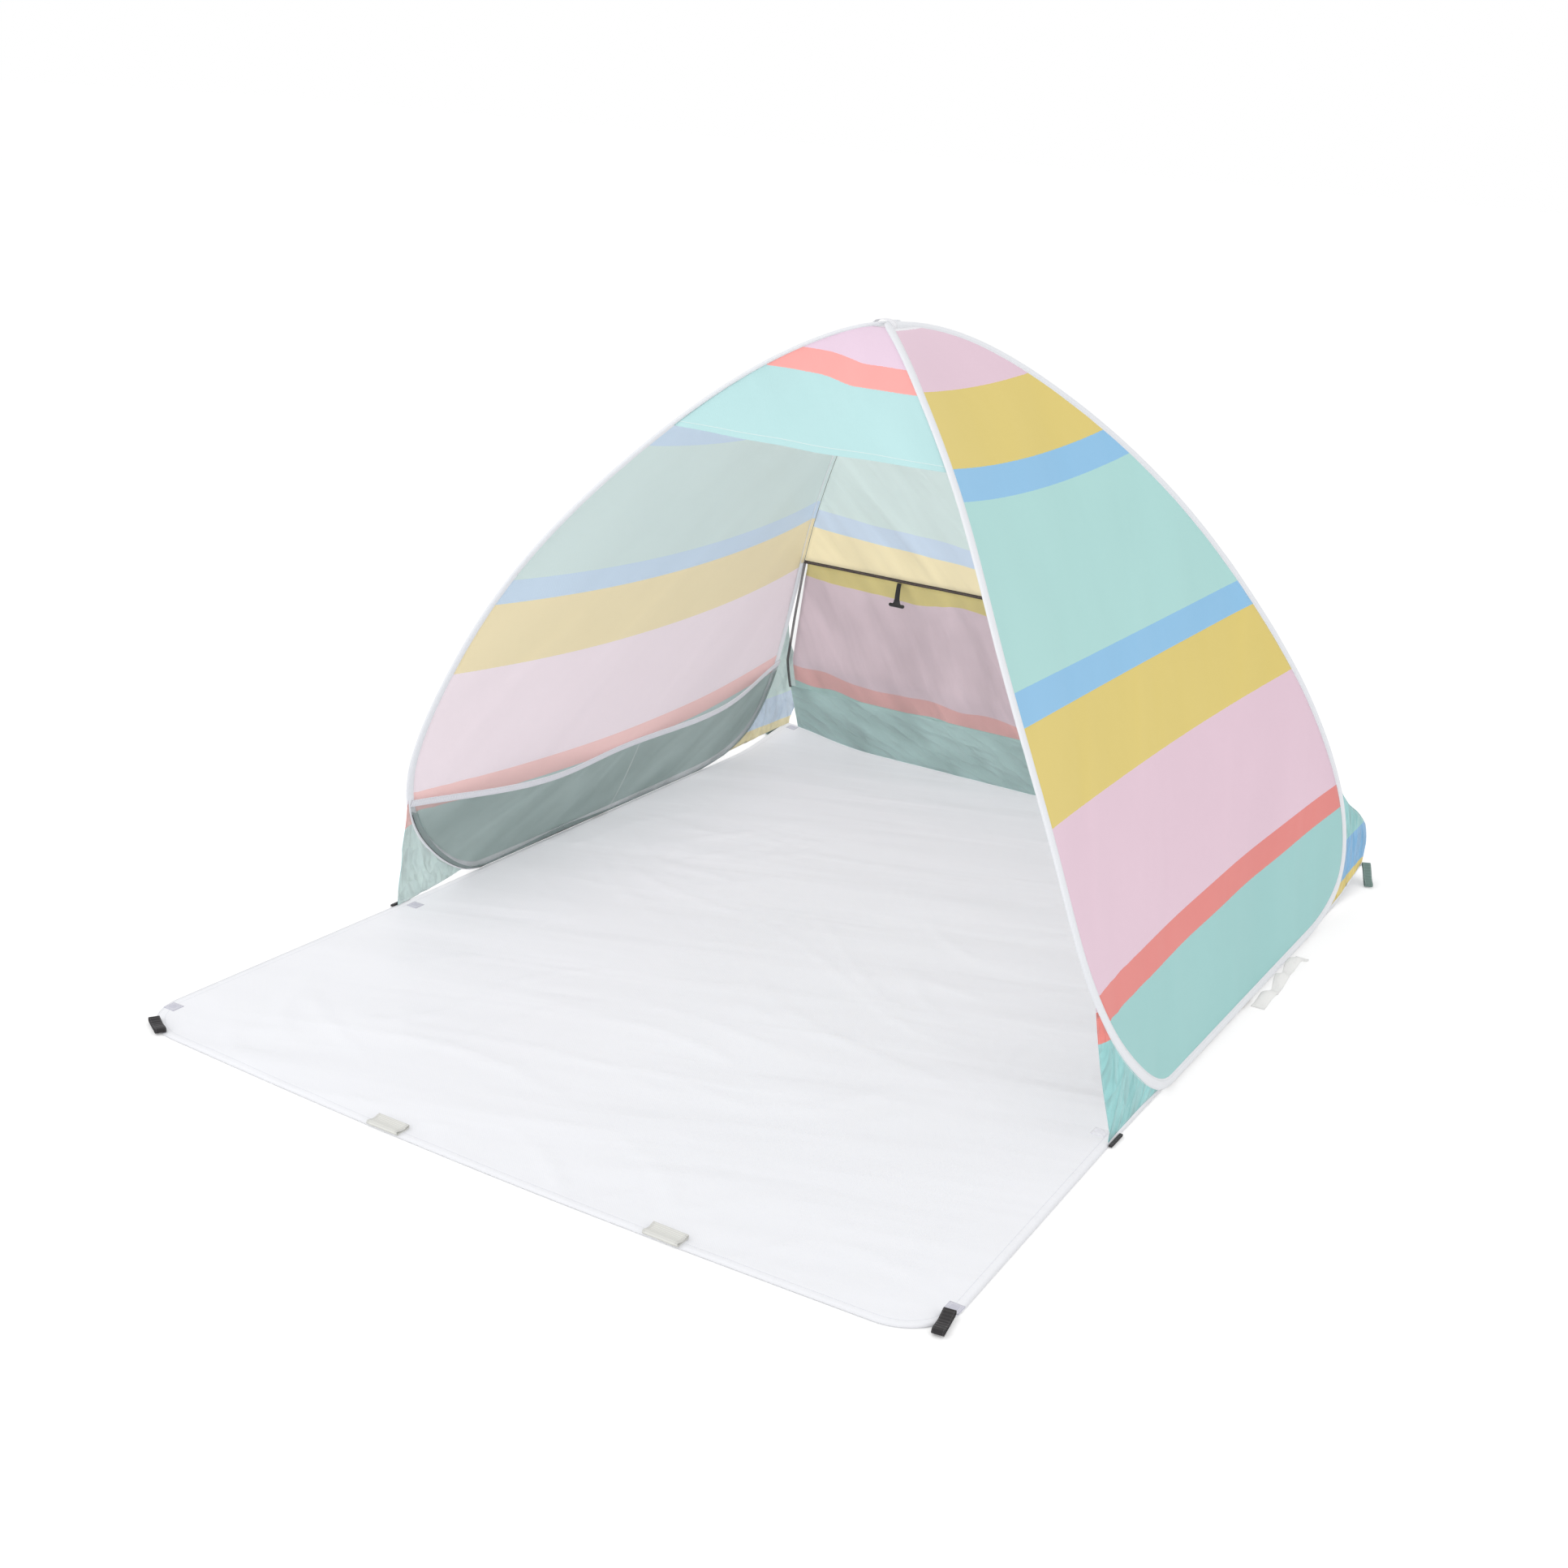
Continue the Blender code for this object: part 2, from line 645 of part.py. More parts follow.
def make_flap():
    hinge = bpy.data.objects.new("flap_hinge_axis", None)
    hinge.location = hinge_place()
    collection.objects.link(hinge)
    rows = []
    levels = range(SEAM_LEVEL, FLAP_END_LEVEL + 1)
    for level in levels:
        share = (level - SEAM_LEVEL) / (len(levels) - 1)
        y, z = back_place(level)
        y += mix(HINGE_STAND_OFF, FLAP_STAND_OFF, min(FLAP_SPREAD * share, 1))
        half = window_half_width(level) - FLAP_SIDE_INSET
        row = [Vector((half * (2 * i / FLAP_COLUMNS - 1), y, z)) for i in range(FLAP_COLUMNS + 1)]
        lift = FLAP_FOLD * share
        for i, point in enumerate(row):
            wave = math.sin(2 * math.pi * FLAP_FOLDS * i / FLAP_COLUMNS + share)
            point.y += lift * (1 + wave)
        rows.append(row)
    sheet("window_flap", rows, CLOTH, "pink_cloth", hinge)


# Two toggles hang from the seam tape, inside the tent, to hold the rolled flap.
TOGGLE_X = 0.330
TOGGLE_LENGTH = 0.036
TOGGLE_DIAMETER = 0.0065
TOGGLE_CORD_LENGTH = 0.046
TOGGLE_CORD_DIAMETER = 0.0030


def make_toggle(side, sign):
    upper = hem_point(rear_index, SEAM_TOP)
    lower = hem_point(rear_index, SEAM_FOOT)
    along = lower - upper
    along.x = 0
    inward = along.cross(Vector((-1, 0, 0))).normalized()
    if inward.y > 0:
        inward = -inward
    top = lower + inward * (SEAM_TAPE_THICKNESS / 2 + SEAT_GAP + TOGGLE_CORD_DIAMETER / 2)
    top.x = sign * TOGGLE_X
    axis = bpy.data.objects.new(side + "_toggle_axis", None)
    axis.location = top
    collection.objects.link(axis)
    end = top - Vector((0, 0, TOGGLE_CORD_LENGTH))
    cord = [top.lerp(end, share) for share in (0, 0.5, 1)]
    wire(side + "_toggle_cord", cord, TOGGLE_CORD_DIAMETER, 1, "black_webbing", axis)
    centre = end - Vector((0, 0, TOGGLE_DIAMETER / 2 + SEAT_GAP))
    half = TOGGLE_LENGTH / 2
    radius_shares = [(-1.0, 0.62), (-0.86, 1.0), (-0.2, 0.86), (0.2, 0.86), (0.86, 1.0), (1.0, 0.62)]

    def build(bm):
        radius = TOGGLE_DIAMETER / 2
        corners = [bm.verts.new((radius * r, 0, -half * place)) for place, r in radius_shares]
        start = bm.verts.new((0, 0, half))
        end_vert = bm.verts.new((0, 0, -half))
        line = [start, *corners, end_vert]
        for a, b in zip(line, line[1:]):
            bm.edges.new((a, b))

    toggle = mesh_object(side + "_toggle", build, smooth=False)
    screw = toggle.modifiers.new("turn", "SCREW")
    screw.steps = 10
    screw.render_steps = 10
    screw.use_merge_vertices = True
    screw.merge_threshold = 0.00001
    toggle.matrix_world = Matrix.Translation(centre) @ Matrix.Rotation(math.pi / 2, 4, "Y")
    finish(toggle, "black_toggle", axis)


# Cloth gussets close the corners between each hoop and the floor.
GUSSET_TOP_LEVEL = 21
GUSSET_END_LEVEL = 27
GUSSET_COLUMNS = 6
GUSSET_CORNER_STEP = 0.003
GUSSET_FOLD = 0.004
FRONT_GUSSET_BOW = 0.020
REAR_GUSSET_BOW = 0.070
# The top of the curve sin a (1 + cos a), which bellies near the ground.
LOW_BELLY = 1.299
GUSSET_CLEARANCE = 0.0002
CORNER_INSET = 0.004


def make_gusset(side, sign, end_name, pick, corner_y, bow):
    """A fan of cloth from the floor's corner to the lower curve of the hoop."""
    stations, _ = hoops[side]
    corner = Vector((sign * (FLOOR_WIDTH / 2 - CORNER_INSET), corner_y, CLOTH + SEAT_GAP + CLOTH / 2))
    levels = list(range(GUSSET_TOP_LEVEL, GUSSET_END_LEVEL + 1))
    reach = FRONT_GUSSET_BOW if bow < 0 else REAR_GUSSET_BOW
    rows = []
    for number, level in enumerate(levels):
        share = number / (len(levels) - 1)
        base = corner + Vector((0, 0, GUSSET_CORNER_STEP * (len(levels) - 1 - number)))
        index = pick(level)
        tip = edge_point(side, index, base - stations[index], CENTRE_GAP + GUSSET_CLEARANCE)
        row = row_between(base, tip, GUSSET_COLUMNS)
        way = Vector((sign, bow, 0)).normalized()
        for i, point in enumerate(row):
            calm = math.sin(math.pi * i / GUSSET_COLUMNS)
            wave = GUSSET_FOLD * math.sin(2 * math.pi * share + bow)
            low = calm if bow < 0 else calm * (1 + math.cos(math.pi * i / GUSSET_COLUMNS)) / LOW_BELLY
            point += Vector((0, bow, 0)) * (reach * low * (1 - share)) + way * (wave * calm)
        rows.append(row)
    sheet(end_name + "_" + side + "_gusset", rows, CLOTH, "teal_cloth")


# The ground sheet runs on in front of the tent as an apron with rounded corners.
LEFT_APRON_RADIUS = 0.110
RIGHT_APRON_RADIUS = 0.095
APRON_FLARE = 0.010
APRON_BOW = 0.018
CORNER_STEPS = 6
BOW_STEPS = 10


def apron_corner(side, sign, turn):
    """A point of one rounded corner, from the apron's side at no turn to its front at a quarter turn."""
    radius = LEFT_APRON_RADIUS if side == "left" else RIGHT_APRON_RADIUS
    x = FLOOR_WIDTH / 2 + APRON_FLARE - radius * (1 - math.cos(turn))
    y = FLOOR_FRONT - APRON_LENGTH + radius * (1 - math.sin(turn))
    return sign * x, y


def apron_edge(x):
    """The bowed front edge's place at x, between its two corners."""
    radius = LEFT_APRON_RADIUS if x < 0 else RIGHT_APRON_RADIUS
    straight = FLOOR_WIDTH / 2 + APRON_FLARE - radius
    return FLOOR_FRONT - APRON_LENGTH - APRON_BOW * math.cos(math.pi / 2 * x / straight)


def floor_outline():
    half = FLOOR_WIDTH / 2
    turns = [math.pi / 2 * i / CORNER_STEPS for i in range(CORNER_STEPS + 1)]
    left, right = ([apron_corner(side, sign, turn) for turn in turns] for side, sign in SIDES)
    points = [(-half, FLOOR_REAR), (half, FLOOR_REAR), (half, FLOOR_FRONT), *right]
    for i in range(1, BOW_STEPS):
        x = mix(right[-1][0], left[-1][0], i / BOW_STEPS)
        points.append((x, apron_edge(x)))
    points += reversed(left)
    points.append((-half, FLOOR_FRONT))
    return points


def make_floor():
    place = Matrix.Translation((0, 0, CLOTH / 2))
    flat_plate("floor_sheet", floor_outline(), [], CLOTH, "white_sheet", place)


# Sewn patches, peg loops and edge tabs of the ground sheet. Headings are turns from +X, for the right side.
PATCH_SIDE = 0.024
PATCH_THICKNESS = 0.0010
LOOP_WIDTH = 0.018
LOOP_LENGTH = 0.060
LOOP_HEIGHT = 0.0092
LOOP_WALL = 0.0014
LOOP_STEPS = 6
APRON_LOOP_HEADING = math.radians(-81)
APRON_LOOP_INSET_X = 0.0115
APRON_LOOP_INSET_Y = 0.080
LEFT_LOOP_LENGTH = 0.054
LEFT_LOOP_TURN = math.radians(60)
LEFT_PATCH_TURN = math.radians(20)
REAR_LOOP_HEADING = math.radians(-60)
REAR_LOOP_LENGTH = 0.048
REAR_LOOP_INSET = 0.012
FRONT_LOOP_WIDTH = 0.007
FRONT_LOOP_REACH = 0.020
TAB_WIDTH = 0.060
TAB_LENGTH = 0.032
TAB_HEIGHT = 0.0080
TAB_OVERHANG = 0.002
TAB_X_LEFT = -0.184
TAB_X_RIGHT = 0.332


def rounded_loop(length, height):
    """An upright flat loop seen from its side, lying on its long face."""
    radius = height / 2
    run = length / 2 - radius
    points = []
    for centre, start in ((run, -math.pi / 2), (-run, math.pi / 2)):
        for i in range(LOOP_STEPS + 1):
            angle = start + math.pi * i / LOOP_STEPS
            points.append((centre + radius * math.cos(angle), radius * math.sin(angle)))
    return points


def make_loop(name, start, heading, length, height, width, finish_name, parent=None):
    """A folded band that lies on its long face, from the middle of its inner end along the heading."""
    outline = rounded_loop(length, height)
    hole = rounded_loop(length - 2 * LOOP_WALL, height - 2 * LOOP_WALL)
    stand = Matrix.Rotation(math.pi / 2, 4, "X")
    turn = Matrix.Rotation(heading, 4, "Z")
    reach = Vector((math.cos(heading), math.sin(heading), 0)) * (length / 2)
    centre = start + reach + Vector((0, 0, height / 2))
    flat_plate(name, outline, [hole], width, finish_name, Matrix.Translation(centre) @ turn @ stand, parent)


def make_patch(name, x, y, parent=None):
    half = PATCH_SIDE / 2
    outline = [(-half, -half), (half, -half), (half, half), (-half, half)]
    place = Matrix.Translation((x, y, CLOTH + SEAT_GAP + PATCH_THICKNESS / 2))
    flat_plate(name, outline, [], PATCH_THICKNESS, "grey_patch", place, parent)


def end_recess(height):
    """How far a loop's round end stands back where it meets the ground sheet's edge."""
    radius = height / 2
    return radius - math.sqrt(radius**2 - (radius - CLOTH) ** 2)


def mirrored(heading, sign):
    return heading if sign > 0 else math.pi - heading


def make_corners(side, sign, parent):
    """The patches and peg loops down one side of the ground sheet."""
    half = FLOOR_WIDTH / 2
    front = FLOOR_FRONT - APRON_LENGTH
    if side == "right":
        # The right loop comes out over the apron's corner, and the left one lies along its corner.
        heading = APRON_LOOP_HEADING
        x = half + APRON_FLARE - APRON_LOOP_INSET_X
        start = Vector((x, front + APRON_LOOP_INSET_Y, CLOTH + SEAT_GAP))
        length = LOOP_LENGTH
        patch_x = half + APRON_FLARE - SEAT_GAP - PATCH_SIDE / 2
        patch_y = start.y + SEAT_GAP + PATCH_SIDE / 2 + LOOP_WIDTH / 2 * math.cos(heading)
    else:
        heading = LEFT_LOOP_TURN - math.pi / 2
        along = Vector((math.cos(heading), math.sin(heading), 0))
        x, y = apron_corner(side, sign, LEFT_LOOP_TURN)
        length = LEFT_LOOP_LENGTH
        start = Vector((x, y, CLOTH + SEAT_GAP)) - along * (length / 2)
        patch_x, patch_y = apron_corner(side, sign, LEFT_PATCH_TURN)
        patch_x -= sign * (PATCH_SIDE / 2 + SEAT_GAP)
        patch_y += PATCH_SIDE / 2
    make_patch(side + "_apron_patch", patch_x, patch_y, parent)
    make_loop(side + "_apron_loop", start, heading, length, LOOP_HEIGHT, LOOP_WIDTH, "black_webbing", parent)

    # The front corner's loop lies folded along the sheet's edge.
    beside = half + SEAT_GAP + FRONT_LOOP_WIDTH / 2
    straight = apron_corner(side, sign, 0)[1] - FLOOR_FRONT
    flare = APRON_FLARE * FRONT_LOOP_REACH / abs(straight)
    start = Vector((sign * (beside + flare), FLOOR_FRONT + LOOP_LENGTH - FRONT_LOOP_REACH, 0))
    turn = -math.pi / 2
    make_loop(side + "_front_loop", start, turn, LOOP_LENGTH, LOOP_HEIGHT, FRONT_LOOP_WIDTH, "black_webbing", parent)

    # The rear corner's loop touches the sheet with one corner of its inner end.
    offset = LOOP_WIDTH / 2 * abs(math.sin(REAR_LOOP_HEADING))
    offset -= end_recess(LOOP_HEIGHT) * math.cos(REAR_LOOP_HEADING)
    start = Vector((sign * (half + SEAT_GAP + offset), FLOOR_REAR - REAR_LOOP_INSET, 0))
    heading = mirrored(REAR_LOOP_HEADING, sign)
    name = side + "_rear_loop"
    make_loop(name, start, heading, REAR_LOOP_LENGTH, LOOP_HEIGHT, LOOP_WIDTH, "grey_green_webbing", parent)
    inset = CORNER_INSET + PATCH_SIDE
    for end_name, y in (("front", FLOOR_FRONT + PATCH_SIDE), ("rear", FLOOR_REAR - PATCH_SIDE)):
        make_patch(side + "_" + end_name + "_patch", sign * (half - inset), y, parent)


def make_tabs():
    """Two flat tubes of folded tape, sewn on top of the apron's front edge."""
    for name, x in (("left_edge_tab", TAB_X_LEFT), ("right_edge_tab", TAB_X_RIGHT)):
        start = Vector((x, apron_edge(x) + TAB_LENGTH - TAB_OVERHANG, CLOTH + SEAT_GAP))
        make_loop(name, start, -math.pi / 2, TAB_LENGTH, TAB_HEIGHT, TAB_WIDTH, "cream_tab")


# A soft cotton tape, sewn to the foot of the right hoop, lies folded on the ground beside it.
STRAP_WIDTH = 0.026
STRAP_THICKNESS = 0.0024
STRAP_START_Y = -0.085
STRAP_RUN = 0.290
STRAP_LIFT = 0.011
STRAP_SWAY = 0.0045
STRAP_TUCK = 0.0006
STRAP_LOBES = 3
STRAP_STEPS = 36
STRAP_COLUMNS = 4


def make_strap(parent):
    inner = FOOT_X + CENTRE_GAP + STRAP_SWAY - STRAP_TUCK
    rows = []
    for i in range(STRAP_STEPS + 1):
        share = i / STRAP_STEPS
        wave = math.sin(math.pi * STRAP_LOBES * share)
        z = STRAP_THICKNESS / 2 + SEAT_GAP + STRAP_LIFT * wave**2
        narrow = 1 - 0.45 * (1 - abs(wave)) * math.sin(math.pi * share)
        sway = STRAP_SWAY * math.sin(2 * math.pi * share)
        y = STRAP_START_Y + STRAP_RUN * share
        row = []
        for j in range(STRAP_COLUMNS + 1):
            across = j / STRAP_COLUMNS
            pinch = (1 - narrow) / 2 * STRAP_WIDTH
            x = inner + sway + pinch + STRAP_WIDTH * narrow * across
            row.append(Vector((x, y, z + STRAP_SWAY * wave**2 * math.sin(math.pi * across))))
        rows.append(row)
    sheet("tie_strap", rows, STRAP_THICKNESS, "white_cotton", parent)


for side_name, side_sign in SIDES:
    carrier = side_axes[side_name]
    make_hoop(side_name, carrier)
    make_wall(side_name, side_sign, carrier)
    make_pocket(side_name, side_sign, carrier)
    make_toggle(side_name, side_sign)
    make_gusset(side_name, side_sign, "front", front_index, FLOOR_FRONT, -1)
    make_gusset(side_name, side_sign, "rear", rear_index, FLOOR_REAR, 1)
    make_corners(side_name, side_sign, carrier)
make_crown_binding()
make_awning()
make_rear_panel()
make_window()
make_skirt()
make_flap()
make_floor()
make_tabs()
make_strap(side_axes["right"])
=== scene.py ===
import math
import bmesh
import bpy
from mathutils import Matrix, Vector, geometry, noise


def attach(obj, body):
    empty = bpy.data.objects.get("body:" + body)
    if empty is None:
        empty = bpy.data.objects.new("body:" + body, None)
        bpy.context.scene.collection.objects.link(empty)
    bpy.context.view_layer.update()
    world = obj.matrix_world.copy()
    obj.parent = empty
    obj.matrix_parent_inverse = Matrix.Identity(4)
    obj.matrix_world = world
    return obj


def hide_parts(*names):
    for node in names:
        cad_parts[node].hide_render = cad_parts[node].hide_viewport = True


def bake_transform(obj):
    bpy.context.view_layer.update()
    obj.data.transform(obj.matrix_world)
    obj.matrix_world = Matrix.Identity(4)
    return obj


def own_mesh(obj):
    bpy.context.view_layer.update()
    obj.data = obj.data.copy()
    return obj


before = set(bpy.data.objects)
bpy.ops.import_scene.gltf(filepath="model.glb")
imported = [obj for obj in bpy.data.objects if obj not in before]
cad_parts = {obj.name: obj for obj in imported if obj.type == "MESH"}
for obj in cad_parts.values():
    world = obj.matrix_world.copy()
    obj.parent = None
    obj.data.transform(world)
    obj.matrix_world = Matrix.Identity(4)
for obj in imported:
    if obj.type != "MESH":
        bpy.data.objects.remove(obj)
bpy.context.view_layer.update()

# the tent's real sizes in metres, the same as in the CAD
tent = {
    "floorWidth": 1.500, "floorDepth": 1.510, "apronLength": 0.665, "hoopHeight": 1.180,
    "hoopOverhang": 0.040, "hoopSetback": 0.153, "sleeveRadius": 0.008, "cloth": 0.0012,
    "gap": 0.0003, "archRise": 1.45, "archRound": 0.70, "finer": 3, "spans": 7,
}
frontShares = [
    (0.3185, 1.0), (0.2133, 0.939), (0.1181, 0.800), (0.0344, 0.6263),
    (0.0, 0.441), (0.0014, 0.2441), (0.0773, 0.0958), (0.2183, 0.0),
]
rearShares = [
    (0.3185, 1.0), (0.4581, 0.9763), (0.5977, 0.8729), (0.7309, 0.728), (0.8497, 0.5441),
    (0.9506, 0.350), (1.0, 0.1627), (0.9556, 0.0398), (0.8067, 0.0),
]
sides = (("left", -1), ("right", 1))

# the photo's camera, with its small roll
camera = {"place": (1.634, -3.509, 1.553), "azimuth": 29.17, "elevation": 19.13, "roll": 4.54, "lens": 45.39}


def addCamera():
    turn, rise, roll = (math.radians(camera[key]) for key in ("azimuth", "elevation", "roll"))
    back = Vector((math.sin(turn) * math.cos(rise), -math.cos(turn) * math.cos(rise), math.sin(rise)))
    level = Vector((math.cos(turn), math.sin(turn), 0))
    up = back.cross(level)
    right = level * math.cos(roll) + up * math.sin(roll)
    top = up * math.cos(roll) - level * math.sin(roll)
    data = bpy.data.cameras.new("camera")
    data.lens = camera["lens"]
    data.sensor_width = 36
    data.clip_end = 200
    obj = bpy.data.objects.new("camera", data)
    bpy.context.scene.collection.objects.link(obj)
    obj.matrix_world = Matrix.Translation(camera["place"]) @ Matrix((right, top, back)).transposed().to_4x4()
    bpy.context.scene.camera = obj


addCamera()
print("camera set")


# shape of the hoops
def mix(a, b, share):
    return a + (b - a) * share


def smooth(a, b, x):
    share = min(max((x - a) / (b - a), 0), 1)
    return share * share * (3 - 2 * share)


def catmull(points, t):
    last = len(points) - 1
    index = min(int(t), last - 1)
    share = t - index
    before = points[index - 1] if index else (2 * points[0][0] - points[1][0], points[1][1])
    if index + 2 <= last:
        after = points[index + 2]
    else:
        after = (2 * points[last][0] - points[last - 1][0], points[last - 1][1])
    result = []
    for axis in range(2):
        a, b, c, d = before[axis], points[index][axis], points[index + 1][axis], after[axis]
        pull = 2 * a - 5 * b + 4 * c - d
        bend = 3 * b - a - 3 * c + d
        result.append((2 * b + (c - a) * share + pull * share**2 + bend * share**3) / 2)
    return result


floorFront = -tent["floorDepth"] / 2
floorRear = tent["floorDepth"] / 2
hoopFront = floorFront - tent["hoopOverhang"]
hoopDepth = floorRear - tent["hoopSetback"] - hoopFront
tubeGap = tent["sleeveRadius"] + tent["gap"]
footX = tent["floorWidth"] / 2 + math.sqrt(tubeGap**2 - (tent["sleeveRadius"] - tent["cloth"]) ** 2)


def outlinePoint(shares, t):
    depthShare, heightShare = catmull(shares, t)
    return hoopFront + hoopDepth * depthShare, tent["sleeveRadius"] + tent["hoopHeight"] * heightShare


def halfWidth(z):
    share = min(max((z - tent["sleeveRadius"]) / tent["hoopHeight"], 0.0), 1.0)
    return tubeGap + (footX - tubeGap) * (1 - share ** tent["archRise"]) ** tent["archRound"]


rearCurve = [outlinePoint(rearShares, (len(rearShares) - 1) * i / 240) for i in range(241)]


def rearY(z):
    for (yA, zA), (yB, zB) in zip(rearCurve, rearCurve[1:]):
        if zB <= z <= zA and zA > zB:
            return mix(yA, yB, (zA - z) / (zA - zB))
    return rearCurve[0][0] if z > tent["hoopHeight"] / 2 else rearCurve[-1][0]


finer = tent["finer"]
levelCount = 4 * tent["spans"] * finer
frontLine = [outlinePoint(frontShares, k / 4 / finer) for k in range(levelCount + 1)]
rearLine = [(rearY(z), z) for _, z in frontLine]
footSteps = 8 * finer


def hoopStations(sign):
    places = list(frontLine)
    for i in range(1, footSteps):
        places.append((mix(frontLine[-1][0], rearLine[-1][0], i / footSteps), tent["sleeveRadius"]))
    places += rearLine[:0:-1]
    return [Vector((sign * halfWidth(z), y, z)) for y, z in places]


def stationFrames(stations, sign):
    count = len(stations)
    middle = sum(stations, Vector()) / count
    frames = []
    step = tent["hoopHeight"] / 112
    for i, point in enumerate(stations):
        tangent = (stations[(i + 1) % count] - stations[i - 1]).normalized()
        z = min(point.z, stations[finer].z)
        slope = (halfWidth(z + step / 8) - halfWidth(z - step)) / (step + step / 8)
        outward = Vector((sign, 0, -slope))
        outward = (outward - tangent * outward.dot(tangent)).normalized()
        inward = outward.cross(tangent)
        if inward.dot(middle - point) < 0:
            inward = -inward
        frames.append((tangent, inward, outward))
    return frames


hoops = {}
for sideName, sideSign in sides:
    stationList = hoopStations(sideSign)
    hoops[sideName] = (stationList, stationFrames(stationList, sideSign))
ringCount = len(hoops["left"][0])


def frontAt(k):
    return k


def rearAt(k):
    return -k % ringCount


def edgePoint(side, index, toward, clearance):
    stations, frames = hoops[side]
    tangent = frames[index][0]
    way = (toward - tangent * toward.dot(tangent)).normalized()
    return stations[index] + way * clearance


def insetPoint(side, index, clearance=tubeGap):
    stations, frames = hoops[side]
    return stations[index] + frames[index][1] * clearance


def spanEdge(pick, k, clearance=tubeGap):
    # where cloth that spans both hoops meets the right sleeve, at a level that may lie between two stations
    across = Vector((-1, 0, 0))
    below = min(int(k), levelCount - 1)
    first = edgePoint("right", pick(below), across, clearance)
    if below < finer:
        start = hoops["right"][0][0] - Vector((tubeGap, 0, 0))
        return start.lerp(edgePoint("right", pick(finer), across, clearance), k / finer)
    return first.lerp(edgePoint("right", pick(below + 1), across, clearance), k - below)


def levelAt(z):
    for k in range(levelCount):
        if frontLine[k + 1][1] <= z <= frontLine[k][1]:
            return k + (frontLine[k][1] - z) / (frontLine[k][1] - frontLine[k + 1][1])
    return levelCount


drawnUp = {"left": 0.026, "right": 0.034, "reach": 0.28}


def cornerLift(x, y):
    # the rear gussets draw the floor's corners up a little
    way = math.hypot(abs(x) - tent["floorWidth"] / 2, y - floorRear)
    return drawnUp["left" if x < 0 else "right"] * smooth(drawnUp["reach"], 0, way) ** 1.4


def ripple(x, y, seed, scale):
    # smooth noise from -1 to 1
    return noise.noise(Vector((x / scale, y / scale, seed * 7.3)))


def ridge(x, y, seed, longSize, shortSize, heading):
    # long narrow folds that run along the heading
    along = x * math.cos(heading) + y * math.sin(heading)
    across = y * math.cos(heading) - x * math.sin(heading)
    bend = 0.35 * longSize * noise.noise(Vector((along / longSize, across / longSize, seed + 40)))
    value = noise.noise(Vector((along / longSize, (across + bend) / shortSize, seed * 3.1)))
    return max(0.0, 1 - abs(value) * 5.5) ** 2 * smooth(-0.1, 0.5, ripple(x, y, seed + 9, longSize * 0.8))


# mesh helpers
def meshFrom(name, verts, faces, uvs, outward=None):
    # a mesh with one or more UV maps, each a list with a pair for every vertex
    mesh = bpy.data.meshes.new(name)
    mesh.from_pydata([tuple(v) for v in verts], [], faces)
    mesh.update()
    for uvName, pairs in uvs.items():
        layer = mesh.uv_layers.new(name=uvName)
        flat = [0.0] * (2 * len(mesh.loops))
        for loop in mesh.loops:
            flat[2 * loop.index], flat[2 * loop.index + 1] = pairs[loop.vertex_index]
        layer.data.foreach_set("uv", flat)
    bm = bmesh.new()
    bm.from_mesh(mesh)
    bmesh.ops.recalc_face_normals(bm, faces=bm.faces)
    bm.to_mesh(mesh)
    bm.free()
    if outward is not None:
        total = sum((p.normal * p.area for p in mesh.polygons), Vector())
        if total.dot(Vector(outward)) < 0:
            mesh.flip_normals()
    mesh.shade_smooth()
    mesh.set_sharp_from_angle(angle=math.radians(62))
    obj = bpy.data.objects.new(name, mesh)
    bpy.context.scene.collection.objects.link(obj)
    return obj


def gridMesh(name, rows, prints, edges=None, outward=None):
    # rows of points; prints give each point's place on the printed cloth, edges its way to the cut edge
    width = len(rows[0])
    verts = [p for row in rows for p in row]
    faces = []
    for r in range(len(rows) - 1):
        upper, lower = r * width, (r + 1) * width
        for c in range(width - 1):
            faces.append((upper + c, upper + c + 1, lower + c + 1, lower + c))
    uvs = {"print": [p for row in prints for p in row]}
    if edges:
        uvs["edge"] = [p for row in edges for p in row]
    return meshFrom(name, verts, faces, uvs, outward)


class Rows:
    # points row by row, each with its place on the print and its way to the cut edge
    def __init__(self):
        self.points, self.prints, self.edges = [], [], []

    def start(self):
        for part in (self.points, self.prints, self.edges):
            part.append([])

    def add(self, point, place, edge=None):
        self.points[-1].append(point)
        self.prints[-1].append(place)
        self.edges[-1].append(edge)

    def mesh(self, name, outward=None, edges=None):
        return gridMesh(name, self.points, self.prints, edges or self.edges, outward)


def edgeDistances(rows):
    # for each point: the way to the nearest edge of the cloth, and the way along it
    result = []
    height, width = len(rows), len(rows[0])
    down = [[0.0] * width for _ in rows]
    for r in range(1, height):
        for c in range(width):
            down[r][c] = down[r - 1][c] + (rows[r][c] - rows[r - 1][c]).length
    for r, row in enumerate(rows):
        along = [0.0]
        for a, b in zip(row, row[1:]):
            along.append(along[-1] + (b - a).length)
        line = []
        for c in range(width):
            ways = (along[c], along[-1] - along[c], down[r][c], down[-1][c] - down[r][c])
            nearest = min(range(4), key=lambda i: ways[i])
            line.append((ways[nearest], down[r][c] if nearest < 2 else along[c]))
        result.append(line)
    return result


def hemDistances(rows, turned):
    # the way up from the hem, for cloth whose last rows are turned back
    result = [[(0.05, 0.0)] * len(rows[0]) for _ in rows]
    for c in range(len(rows[0])):
        way = 0.0
        for r in range(len(rows) - turned - 1, -1, -1):
            if r < len(rows) - turned - 1:
                way += (rows[r][c] - rows[r + 1][c]).length
            result[r][c] = (way, rows[r][c].x)
    return result


